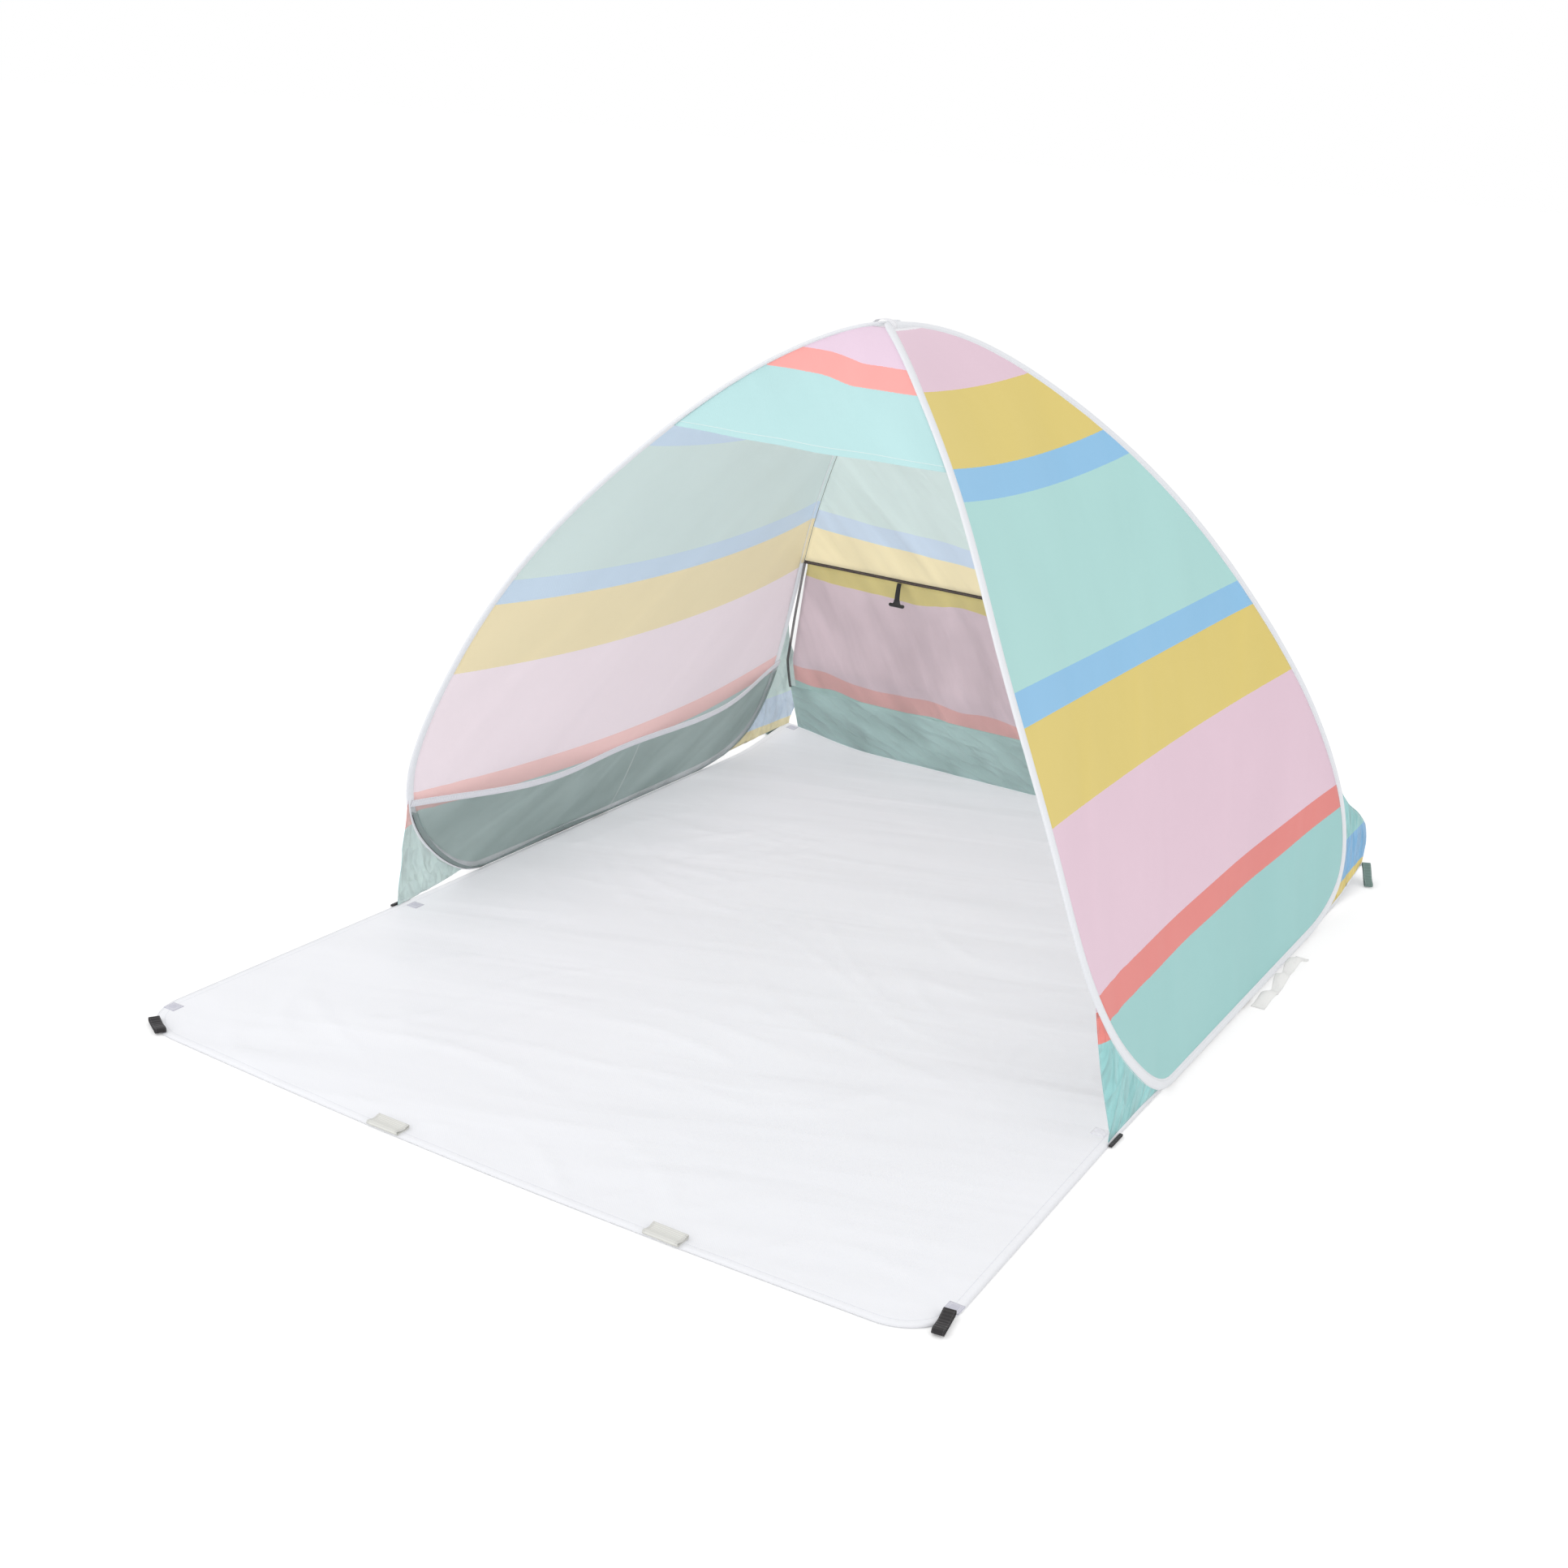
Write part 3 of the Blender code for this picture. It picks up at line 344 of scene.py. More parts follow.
def thicken(obj, thickness, outer, inner=None):
    obj.data.materials.append(outer)
    obj.data.materials.append(inner or outer)
    solid = obj.modifiers.new("cloth", "SOLIDIFY")
    solid.thickness = thickness
    solid.offset = 0.0
    solid.material_offset = 1
    solid.material_offset_rim = 0


def weld(obj, reach):
    # joins the first and last rows of a closed band
    bm = bmesh.new()
    bm.from_mesh(obj.data)
    bmesh.ops.remove_doubles(bm, verts=bm.verts, dist=reach)
    bmesh.ops.recalc_face_normals(bm, faces=bm.faces)
    bm.to_mesh(obj.data)
    bm.free()


def gridSheetArea(rows):
    total = 0.0
    for upper, lower in zip(rows, rows[1:]):
        for i in range(len(upper) - 1):
            a, b, c, d = upper[i], upper[i + 1], lower[i + 1], lower[i]
            total += ((b - a).cross(c - a).length + (c - a).cross(d - a).length) / 2
    return total


def declareSheet(obj, rows, restsOn=()):
    # the flat cut is as wide as the longest row and as long as the longest column
    area = gridSheetArea(rows)
    width = max(sum((b - a).length for a, b in zip(row, row[1:])) for row in rows)
    columns = range(0, len(rows[0]), 4)
    length = max(sum((b[c] - a[c]).length for a, b in zip(rows, rows[1:])) for c in columns)
    length = max(length, area / width * 1.01)
    width = min(width, area / length / 0.32)
    print("sheet", obj.name, round(width, 3), round(length, 3), round(area, 4))


# colours, node helpers and materials
def linear(value):
    value = value / 255
    return value / 12.92 if value <= 0.04045 else ((value + 0.055) / 1.055) ** 2.4


def colour(rgb, dim=1.0):
    return (*[linear(v * dim) for v in rgb], 1.0)


class Flow:
    # what a node gives, so that math nodes are written as plain sums
    def __init__(self, tree, socket):
        self.tree = tree
        self.socket = socket

    def apply(self, operation, *others):
        return mathNode(self.tree, operation, self, *others)

    def scaled(self, factor, base):
        return self.apply("MULTIPLY_ADD", factor, base)

    def __add__(self, other):
        return self.apply("ADD", other)

    def __sub__(self, other):
        return self.apply("SUBTRACT", other)

    def __rsub__(self, other):
        return mathNode(self.tree, "SUBTRACT", other, self)

    def __mul__(self, other):
        return self.apply("MULTIPLY", other)

    def __truediv__(self, other):
        return self.apply("DIVIDE", other)

    def __lt__(self, other):
        return self.apply("LESS_THAN", other)


def fill(tree, node, inputs):
    # links what another node gives, and sets a plain value
    for key, value in inputs.items():
        if isinstance(value, Flow):
            tree.links.new(value.socket, node.inputs[key])
        else:
            node.inputs[key].default_value = value
    return node


def addNode(tree, kind, **inputs):
    return fill(tree, tree.nodes.new("ShaderNode" + kind), inputs)


def mathNode(tree, operation, *values):
    node = addNode(tree, "Math")
    node.operation = operation
    fill(tree, node, dict(enumerate(values)))
    return Flow(tree, node.outputs[0])


def mixColour(tree, factor, a, b, blend="MIX"):
    node = addNode(tree, "Mix")
    node.data_type = "RGBA"
    node.blend_type = blend
    fill(tree, node, {0: factor, 6: a, 7: b})
    return Flow(tree, node.outputs[2])


def noiseNode(tree, vector, scale, detail=2.0, rough=0.5, distortion=0.0, output="Fac"):
    node = addNode(tree, "TexNoise", Vector=vector, Scale=scale, Detail=detail, Roughness=rough,
                   Distortion=distortion)
    return Flow(tree, node.outputs[output])


def splitNode(tree, vector):
    # the first two numbers of a place
    node = addNode(tree, "SeparateXYZ", Vector=vector)
    return Flow(tree, node.outputs["X"]), Flow(tree, node.outputs["Y"])


def drawOut(tree, vector, heading, share):
    # long shapes along a heading, from round ones
    node = addNode(tree, "Mapping", Vector=vector, Rotation=(0, 0, heading), Scale=(1 / share, 1, 1))
    node.vector_type = "TEXTURE"
    return Flow(tree, node.outputs[0])


def uvNode(tree, name):
    node = addNode(tree, "UVMap")
    node.uv_map = name
    return Flow(tree, node.outputs[0])


def edgeWay(tree):
    # the way to the cloth's edge
    return splitNode(tree, uvNode(tree, "edge"))[0]


def bumpNode(tree, height, distance=1.0):
    return Flow(tree, addNode(tree, "Bump", Height=height, Distance=distance, Strength=1.0).outputs[0])


def litNode(tree, surface, **change):
    return Flow(tree, addNode(tree, "HueSaturation", Color=surface, **change).outputs[0])


def rayNode(tree, kind):
    return Flow(tree, addNode(tree, "LightPath").outputs["Is " + kind + " Ray"])


def newGroup(name, inputs, outputs):
    # the group's tree, what it is given by name, and the node that takes what it gives
    tree = bpy.data.node_groups.new(name, "ShaderNodeTree")
    for label, kind, value in inputs:
        socket = tree.interface.new_socket(label, in_out="INPUT", socket_type="NodeSocket" + kind)
        if value is not None:
            socket.default_value = value
    for label, kind in outputs:
        tree.interface.new_socket(label, in_out="OUTPUT", socket_type="NodeSocket" + kind)
    inside = tree.nodes.new("NodeGroupInput")
    given = {label: Flow(tree, inside.outputs[label]) for label, _, _ in inputs}
    return tree, given, tree.nodes.new("NodeGroupOutput")


def makeWeaveGroup():
    # plain weave: warp and weft pass over each other, with a few thicker threads
    tree, given, outside = newGroup(
        "plainWeave", [("Place", "Vector", None), ("Threads", "Float", 1400.0), ("Slub", "Float", 0.3)],
        [("Height", "Float"), ("Shade", "Float")])
    warp, weft = ((way * given["Threads"]).apply("SINE") for way in splitNode(tree, given["Place"]))
    stretch = addNode(tree, "Mapping", Vector=given["Place"], Scale=(1.0, 26.0, 1.0))
    slub = noiseNode(tree, Flow(tree, stretch.outputs[0]), 22.0)
    fill(tree, outside, {"Height": (warp * weft).scaled(0.35, 0.5) + slub * given["Slub"], "Shade": slub})
    return tree


def makeCreaseGroup():
    # soft rumples, and the crisp facets of crumpled thin cloth
    tree, given, outside = newGroup(
        "clothCreases", [("Place", "Vector", None), ("Size", "Float", 6.0), ("Sharp", "Float", 0.4)],
        [("Height", "Float"), ("Soft", "Float")])
    sized = addNode(tree, "VectorMath")
    sized.operation = "SCALE"
    fill(tree, sized, {0: given["Place"], "Scale": given["Size"]})
    place = Flow(tree, sized.outputs[0])
    soft = noiseNode(tree, place, 1.0, 2.0, 0.45, 0.4)
    bent = addNode(tree, "VectorMath")
    bent.operation = "MULTIPLY_ADD"
    fill(tree, bent, {0: noiseNode(tree, place, 1.6, output="Color"), 1: (0.7, 0.7, 0.0), 2: place})
    facet = addNode(tree, "TexVoronoi", Vector=Flow(tree, bent.outputs[0]), Scale=1.7)
    facet.voronoi_dimensions = "2D"
    height = Flow(tree, facet.outputs["Distance"]).scaled(given["Sharp"], soft)
    fill(tree, outside, {"Height": height, "Soft": soft})
    return tree


def makeStitchGroup():
    # a dashed sewing line at a set way from the edge
    tree, given, outside = newGroup(
        "sewnLine", [("Edge", "Vector", None), ("Inset", "Float", 0.006), ("Pitch", "Float", 0.0032),
                     ("Thread", "Float", 0.0005)], [("Mask", "Float"), ("Pucker", "Float")])
    way, run = splitNode(tree, given["Edge"])
    off = (way - given["Inset"]).apply("ABSOLUTE")
    dash = (run / given["Pitch"]).apply("FRACT") < 0.72
    pucker = (off * -400.0).apply("EXPONENT") * (run * 520.0).apply("SINE").scaled(0.3, 0.7)
    fill(tree, outside, {"Mask": (off < given["Thread"]) * dash, "Pucker": pucker})
    return tree


def makeWearGroup():
    # light soiling and fading in broad, faint patches
    tree, given, outside = newGroup(
        "fadedPatches",
        [("Place", "Vector", None), ("Colour", "Color", (1, 1, 1, 1)), ("Amount", "Float", 0.05)],
        [("Colour", "Color"), ("Mask", "Float")])
    broad = noiseNode(tree, given["Place"], 2.6, 3.0, 0.6, 0.3)
    fine = noiseNode(tree, given["Place"], 40.0, 3.0, 0.7)
    both = broad.scaled(0.75, fine * 0.25)
    mask = (both - 0.5) * given["Amount"]
    worn = litNode(tree, given["Colour"], Value=mask + 1.0, Saturation=1.0 - mask * 0.8)
    fill(tree, outside, {"Colour": worn, "Mask": both})
    return tree


groups = {
    "weave": makeWeaveGroup(), "creases": makeCreaseGroup(),
    "stitch": makeStitchGroup(), "wear": makeWearGroup(),
}


def useGroup(tree, key, **values):
    # what the group gives, by name
    node = tree.nodes.new("ShaderNodeGroup")
    node.node_tree = groups[key]
    fill(tree, node, values)
    return {socket.name: Flow(tree, socket) for socket in node.outputs}


def sewLines(tree, stitches, thread, surface, height, cover, depth):
    # lays each sewn line over the colour, and its pucker over the height
    for inset in stitches:
        sewn = useGroup(tree, "stitch", Edge=uvNode(tree, "edge"), Inset=inset)
        surface = mixColour(tree, sewn["Mask"] * cover, surface, colour(thread))
        height = height - sewn["Pucker"] * depth
    return surface, height


fabric = {"roughness": 0.58, "sheen": 0.10, "passed": 0.94, "weaveDepth": 0.00010, "creaseDepth": 0.0050,
          "rampTop": 1.25, "seam": (128, 134, 130)}
netting = {"holes": 0.0016, "roughness": 0.8, "divider": (238, 242, 240), "doubled": (126, 145, 142),
           "edge": (58, 62, 60), "dividerHalf": 0.0011}


def bandRamp(tree, height, bands, palette):
    # hard stripes by height: bands are (colour name, its upper end) from the ground up
    ramp = tree.nodes.new("ShaderNodeValToRGB")
    ramp.color_ramp.interpolation = "CONSTANT"
    fill(tree, ramp, {0: height / fabric["rampTop"]})
    low = 0.0
    elements = ramp.color_ramp.elements
    for i, (name, upper) in enumerate(bands):
        spot = elements[i] if i < 2 else elements.new(low / fabric["rampTop"])
        spot.position = low / fabric["rampTop"]
        spot.color = colour(palette[name])
        low = upper
    return Flow(tree, ramp.outputs[0])


def newMaterial(name):
    material = bpy.data.materials.new(name)
    material.use_nodes = True
    tree = material.node_tree
    return material, tree, tree.nodes["Principled BSDF"]


def clothMaterial(name, base, bands=None, palette=None, stitches=(), thread=(238, 238, 236), creaseSize=6.0,
                  creases=1.0, sharp=0.0, wear=0.06, rough=fabric["roughness"], weave=1.0, passed=True,
                  seam=0.0, stretch=None, paintedFoldShade=0.0):
    # printed or plain polyester cloth, with weave, creases, faint fading, sewn lines, and painted light and
    # shade on its soft folds
    material, tree, shader = newMaterial(name)
    place = uvNode(tree, "print")
    if bands:
        # the print's edges are not quite sharp
        shake = noiseNode(tree, place, 260.0, 1.0) - 0.5
        surface = bandRamp(tree, shake.scaled(0.0016, splitNode(tree, place)[1]), bands, palette)
    else:
        surface = colour(base)
    worn = useGroup(tree, "wear", Place=place, Colour=surface, Amount=wear)
    threads = useGroup(tree, "weave", Place=place)
    drawnOut = drawOut(tree, place, *stretch) if stretch else place
    folds = useGroup(tree, "creases", Place=drawnOut, Size=creaseSize, Sharp=sharp)
    slubs = threads["Shade"] * (0.05 * weave)
    surface = mixColour(tree, slubs, worn["Colour"], (0.75, 0.75, 0.78, 1), "MULTIPLY")
    if paintedFoldShade:
        # painted light and shade: the colour is lighter on the soft folds' crests and darker in their hollows
        foldShadeSign = ((folds["Soft"] - 0.5) * 5.0).apply("MINIMUM", 1.0).apply("MAXIMUM", -1.0)
        surface = litNode(tree, surface, Value=foldShadeSign.scaled(paintedFoldShade, 1.0))
    if seam:
        surface = mixColour(tree, edgeWay(tree) < seam, surface, colour(fabric["seam"]))
    height = threads["Height"] * (fabric["weaveDepth"] * weave)
    height = height + folds["Height"] * (fabric["creaseDepth"] * creases)
    surface, height = sewLines(tree, stitches, thread, surface, height, 0.8, 0.0006)
    fill(tree, shader, {"Base Color": surface, "Roughness": worn["Mask"].scaled(0.12, rough - 0.06),
                        "Normal": bumpNode(tree, height), "Sheen Weight": fabric["sheen"]})
    if passed:
        # daylight passes through the thin cloth
        through = rayNode(tree, "Shadow").apply("MAXIMUM", rayNode(tree, "Diffuse")) * fabric["passed"]
        fill(tree, shader, {"Alpha": 1.0 - through})
    return material


def netMaterial(name, base, cover, edgeBlack=0.0, creaseLines=None, divider=None, rim=0.0):
    # fine knitted net: half see-through, with its small holes, and a dark bound edge
    material, tree, shader = newMaterial(name)
    place = uvNode(tree, "print")
    x, y = splitNode(tree, place)
    turn = 2 * math.pi / netting["holes"]
    knots = (x * turn).apply("SINE") * (y * turn).apply("SINE")
    alpha = knots.scaled(0.10, cover) + (noiseNode(tree, place, 9.0) - 0.5) * 0.12
    surface = mixColour(tree, knots.scaled(0.2, 0.3), colour(base), colour(base, 0.8))
    if creaseLines:
        size, heading, strength = creaseLines
        folded = useGroup(tree, "creases", Place=drawOut(tree, place, heading, 0.25), Size=size, Sharp=1.0)
        alpha = alpha + (folded["Soft"] - 0.5) * strength
    # the sewn divider, the doubled cloth at the rim and the dark edge each hide some of the holes
    marks = []
    if divider is not None:
        marks.append(((x - divider).apply("ABSOLUTE") < netting["dividerHalf"], netting["divider"], 0.75))
    if rim:
        marks.append((edgeWay(tree) < rim, netting["doubled"], 0.72))
    if edgeBlack:
        marks.append((edgeWay(tree) < edgeBlack, netting["edge"], 0.92))
    for mask, rgb, least in marks:
        surface = mixColour(tree, mask, surface, colour(rgb))
        alpha = alpha.apply("MAXIMUM", mask * least)
    fill(tree, shader, {"Base Color": surface, "Alpha": alpha, "Normal": bumpNode(tree, knots, 0.0003),
                        "Roughness": netting["roughness"]})
    return material


def tapeMaterial(name, base, ribs=900.0, depth=0.0003, rough=0.8, stitches=(), thread=(225, 225, 225),
                 wear=0.10):
    # woven tape or webbing with ribs across it
    material, tree, shader = newMaterial(name)
    place = uvNode(tree, "print")
    rib = (splitNode(tree, place)[0] * ribs).apply("SINE")
    fibre = noiseNode(tree, place, 900.0, 2.0, 0.6)
    surface = mixColour(tree, rib.scaled(0.12, 0.15), colour(base), colour(base, 0.72))
    surface = useGroup(tree, "wear", Place=place, Colour=surface, Amount=wear)["Colour"]
    height = rib * depth + fibre * depth
    surface, height = sewLines(tree, stitches, thread, surface, height, 1.0, 0.0004)
    fill(tree, shader, {"Base Color": surface, "Normal": bumpNode(tree, height), "Sheen Weight": 0.1,
                        "Roughness": fibre.scaled(0.15, rough - 0.08)})
    return material


# printed colours outside; the reverse is paler, partly because the print is on the outside and partly as
# painted light shining through the cloth
printed = {
    "pink": (228, 198, 213), "yellow": (223, 201, 108), "blue": (138, 193, 231), "teal": (172, 218, 214),
    "deepTeal": (155, 205, 203), "coral": (229, 130, 124), "white": (240, 240, 244),
}
reverse = {
    "pink": (245, 231, 237), "yellow": (242, 227, 184), "blue": (202, 222, 240), "teal": (212, 230, 227),
    "deepTeal": (206, 224, 221), "coral": (248, 206, 202), "white": (246, 246, 248),
}
wallBands = [
    ("deepTeal", 0.205), ("coral", 0.250), ("pink", 0.508), ("yellow", 0.652), ("blue", 0.700),
    ("teal", 0.955), ("blue", 1.000), ("yellow", 1.100), ("pink", 1.1785), ("white", 1.300),
]
wallCreases = {"creases": 1.6, "creaseSize": 5.0, "wear": 0.09, "stretch": (0.9, 0.28)}
# the walls paint light and shade on their soft folds, a little more on the paler reverse
wallOutside = clothMaterial("wall outside", None, wallBands, printed, paintedFoldShade=0.022, **wallCreases)
wallInside = clothMaterial("wall inside", None, wallBands, reverse, paintedFoldShade=0.028, **wallCreases)
sleeveCloth = clothMaterial("sleeve cloth", (231, 233, 237), stitches=(0.0035,), creases=0.25,
                            creaseSize=30.0, thread=(214, 216, 222))
print("materials ready")

# hoop sleeves
sleeve = {"flange": 0.0115, "flangeHalf": 0.0007, "roundSteps": 16, "flat": 0.50, "pucker": 0.06,
          "puckerSize": 0.030, "mouth": 38, "fit": 0.985}


def sleeveProfile():
    # the flattened round of the sleeve with its sewn flange: pairs of (inward, outward)
    radius = tent["sleeveRadius"] * sleeve["fit"]
    mouth = math.radians(sleeve["mouth"])
    profile = [(sleeve["flange"], sleeve["flangeHalf"])]
    for i in range(sleeve["roundSteps"] + 1):
        angle = mouth + (2 * math.pi - 2 * mouth) * i / sleeve["roundSteps"]
        profile.append((radius * math.cos(angle), sleeve["flat"] * radius * math.sin(angle)))
    return [*profile, (sleeve["flange"], -sleeve["flangeHalf"]), profile[0]]


def makeSleeve(side):
    stations, frames = hoops[side]
    profile = sleeveProfile()
    around = [0.0]
    for (ax, ay), (bx, by) in zip(profile, profile[1:]):
        around.append(around[-1] + math.hypot(bx - ax, by - ay))
    cloth = Rows()
    run = 0.0
    total = len(stations)
    for i in range(total + 1):
        point = stations[i % total]
        if i:
            run += (point - stations[i - 1]).length
        _, inward, outward = frames[i % total]
        turn = i / total * 2 * math.pi
        place = Vector((math.cos(turn), math.sin(turn), 0)) * (0.6 / sleeve["puckerSize"])
        cloth.start()
        for j, (u, v) in enumerate(profile):
            # the seam lets the round side pucker a little
            swell = 1.0
            if 0 < j < len(profile) - 2:
                swell += sleeve["pucker"] * noise.noise(place + Vector((0, 0, j * 0.25)))
            cloth.add(point + inward * (u * swell) + outward * (v * swell), (run, around[j]),
                      (min(around[j], around[-1] - around[j]), run))
    obj = cloth.mesh(side + "SleeveCloth")
    weld(obj, 0.00002)
    obj.data.materials.append(sleeveCloth)
    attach(obj, side + "_side")
    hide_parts(side + "_hoop_sleeve")


for sideName, sideSign in sides:
    makeSleeve(sideName)
print("sleeves made")


# walls
wall = {"columns": 72, "start": 2, "tuck": 0.0035, "fold": 0.0026, "footFold": 0.0040, "edgePucker": 0.0016,
        "puckerSize": 0.028, "draw": 0.050, "drawTop": 1.19, "sag": 0.022, "gather": 0.012,
        "thickness": 0.0008}


def wallDraw(u, z):
    # how far the wall is drawn in between the hoop's front and rear, and how far its print sags
    share = 4 * u * (1 - u)
    rise = (1 - math.exp(-max(z - 0.012, 0) / 0.10)) * max(0.0, 1 - (z / wall["drawTop"]) ** 3) ** 0.9
    return wall["draw"] * share * rise, wall["sag"] * share * min(1.0, max(wall["drawTop"] - z, 0) / 0.25)


def wallFold(y, z, sign):
    # how far the cloth stands off the smooth arch
    low = 1 - smooth(0.02, 0.34, z)
    soft = wall["fold"] * ripple(y * 0.7, z * 1.2, 3 + sign, 0.34)
    fans = wall["footFold"] * low * (0.5 + 0.5 * math.sin(9 * (y + 0.15) / (0.35 + z) + sign))
    return mix(soft, abs(soft) * 0.5, low) + fans


def wallPucker(y, z, near, sign):
    # small gathers along the seam with the sleeve
    reach = math.exp(-near / 0.03) * smooth(0, 0.012, near) * smooth(0.014, 0.06, z)
    return wall["edgePucker"] * reach * ripple(z, y * 0.2, 5 + sign, wall["puckerSize"])


def makeWall(side, sign):
    cloth = Rows()
    for k in range(wall["start"], levelCount):
        start = insetPoint(side, frontAt(k), tubeGap - wall["tuck"])
        end = insetPoint(side, rearAt(k), tubeGap - wall["tuck"])
        cloth.start()
        for i in range(wall["columns"] + 1):
            share = i / wall["columns"]
            point = start.lerp(end, share)
            if 0 < i < wall["columns"]:
                point.x = sign * halfWidth(point.z)
                near = min((point - start).length, (point - end).length)
                calm = smooth(0.0, 0.12, near) * smooth(0.014, 0.11, point.z)
                lift = wallFold(point.y, point.z, sign) * calm + wallPucker(point.y, point.z, near, sign)
                point.x += sign * lift
            drawn, sag = wallDraw(share, point.z)
            point.x -= sign * drawn
            gathered = math.exp(-(point - start).length / 0.09) * (1 - smooth(0.15, 0.40, point.z))
            gathered *= wall["gather"] * ripple(point.y, point.z * 0.5, 7, wall["puckerSize"])
            cloth.add(point, (point.y, point.z + sag + gathered))
    cloth.start()
    for i in range(wall["columns"] + 1):
        place = levelCount + footSteps * i / wall["columns"]
        index = int(place)
        point = insetPoint(side, index, tubeGap - wall["tuck"]).lerp(
            insetPoint(side, (index + 1) % ringCount, tubeGap - wall["tuck"]), place - index)
        cloth.add(point, (point.y, point.z + wallDraw(i / wall["columns"], 0)[1]))
    obj = cloth.mesh(side + "WallCloth", (sign, 0, 0.3), edgeDistances(cloth.points))
    thicken(obj, wall["thickness"], wallOutside, wallInside)
    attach(obj, side + "_side")
    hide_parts(side + "_wall")
    declareSheet(obj, cloth.points, [side + "SleeveCloth"])


facing = {"wide": 0.0090, "deep": 0.0054, "steps": 10, "seam": 0.0016, "start": 3, "end": 16 * finer,
          "thickness": 0.0006}


def makeFacing(side, sign):
    # the wall's cloth runs on over the inside of the rear sleeve to the seam with the tent's back
    stations, frames = hoops[side]
    cloth = Rows()
    for k in range(facing["start"], facing["end"] + 1):
        index = rearAt(k)
        tangent, inward, _ = frames[index]
        across = Vector((-sign, 0, 0))
        across = (across - tangent * across.dot(tangent)).normalized()
        cloth.start()
        for j in range(facing["steps"] + 1):
            share = j / facing["steps"]
            turn = share * math.pi / 2
            point = stations[index] + inward * (facing["wide"] * math.cos(turn))
            point += across * (facing["deep"] * math.sin(turn))
            cloth.add(point, (point.y, point.z), ((1 - share) * facing["wide"], k * 0.01))
    obj = cloth.mesh(side + "InnerFacing", (-sign, -1, 0))
    thicken(obj, facing["thickness"], facingMaterial)
    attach(obj, side + "_side")
    declareSheet(obj, cloth.points, [side + "SleeveCloth"])


# the facing takes the reverse colours, paler partly as painted light shining through the cloth
facingMaterial = clothMaterial("wall facing", None, wallBands, reverse, creases=0.2, seam=facing["seam"])
for sideName, sideSign in sides:
    makeWall(sideName, sideSign)
    makeFacing(sideName, sideSign)
print("walls made")

# cloth that spans both hoops
span = {"columns": 96, "tuck": 0.0052, "thickness": 0.0008}


def spanRow(pick, k):
    # the straight row between the sleeves, with each point's share of the way across
    edge = spanEdge(pick, k, tubeGap - span["tuck"])
    shares = [i / span["columns"] for i in range(span["columns"] + 1)]
    return [(share, Vector((edge.x * (2 * i / span["columns"] - 1), edge.y, edge.z)))
            for i, share in enumerate(shares)]


def acrossFold(obj):
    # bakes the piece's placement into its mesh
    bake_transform(obj)


def addHem(cloth, depth, gap, away):
    # turns the last row back on itself, as a sewn hem
    last, lastPrint = cloth.points[-1], cloth.prints[-1]
    ways = [(a - b).normalized() for a, b in zip(cloth.points[-4], last)]
    for share, out in ((0.02, 0.6), (0.35, 1.0), (1.0, 1.0)):
        cloth.points.append([p + way * (depth * share) + away * (gap * out) for p, way in zip(last, ways)])
        cloth.prints.append([(u, v + depth * share) for u, v in lastPrint])


awningBands = [("teal", 1.104), ("coral", 1.139), ("pink", 1.30)]
awningLook = {"pink": (231, 205, 224), "coral": (250, 166, 161), "teal": (183, 221, 222)}
# the awning's inside colours are paler, partly because the print is on the outside and partly as painted
# light shining through the cloth
awningReversePaleAndLit = {"pink": (226, 212, 224), "coral": (243, 190, 186), "teal": (203, 228, 227)}
awning = {"endLevel": 21, "fold": 0.0040, "ripple": 0.0045, "ridge": 0.0035, "hem": 0.013, "hemGap": 0.0009,
          "sag": 0.004, "drift": 0.011, "waver": 0.005, "lean": 0.004}


def makeAwning():
    cloth = Rows()
    hemEdge = spanEdge(frontAt, awning["endLevel"])
    for k in [0.5 * finer, *range(2, awning["endLevel"] + 1)]:
        share = k / awning["endLevel"]
        cloth.start()
        for across, point in spanRow(frontAt, k):
            calm = math.sin(math.pi * across)
            point.y -= awning["fold"] * share * calm * math.sin(6 * math.pi * across + math.pi * share)
            point.y -= awning["ripple"] * calm * ripple(point.x - 0.8 * point.z, point.z * 0.4, 11, 0.11)
            point.y -= awning["ridge"] * calm * ridge(point.x, point.z, 14, 0.30, 0.07, -0.9)
            point.z -= awning["sag"] * share * share * calm * (0.6 + 0.4 * ripple(point.x, 0, 12, 0.3))
            dip = awning["drift"] * (smooth(-0.045, 0.045, point.x) - smooth(0.06, 0.24, point.x) * 0.5)
            dip += awning["waver"] * ripple(point.x, 0.0, 13, 0.13) + awning["lean"] * point.x / hemEdge.x
            cloth.add(point, (point.x, point.z + dip))
    addHem(cloth, awning["hem"], awning["hemGap"], Vector((0, 0.8, -0.4)))
    obj = cloth.mesh("awningCloth", (0, -1, 0.6), hemDistances(cloth.points, 3))
    thicken(obj, span["thickness"], awningOutside, awningInside)
    acrossFold(obj)
    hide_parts("awning")
    declareSheet(obj, cloth.points, ["leftSleeveCloth", "rightSleeveCloth"])


rearPanel = {"fold": 0.0045, "ripple": 0.0075, "ridge": 0.0070, "printDip": 0.024, "printSag": 0.030,
             "waver": 0.022, "calmBelow": 0.06, "tape": 0.0120, "tapeThickness": 0.0020, "tapeTuck": 0.17,
             "tapeRows": 5, "tapeBulge": 0.0004, "tapeRipple": 0.0002, "tapeWaver": 0.0010}
seamLevel = 16 * finer
seamZ = frontLine[seamLevel][1]
seamTop = levelAt(seamZ + rearPanel["tape"] / 2)
seamFoot = levelAt(seamZ - rearPanel["tape"] / 2)


def backPrint(x, z, half):
    # the print hangs lower in the middle of the tent's back
    return z + rearPanel["printDip"] + rearPanel["printSag"] * (1 - (x / half) ** 2)


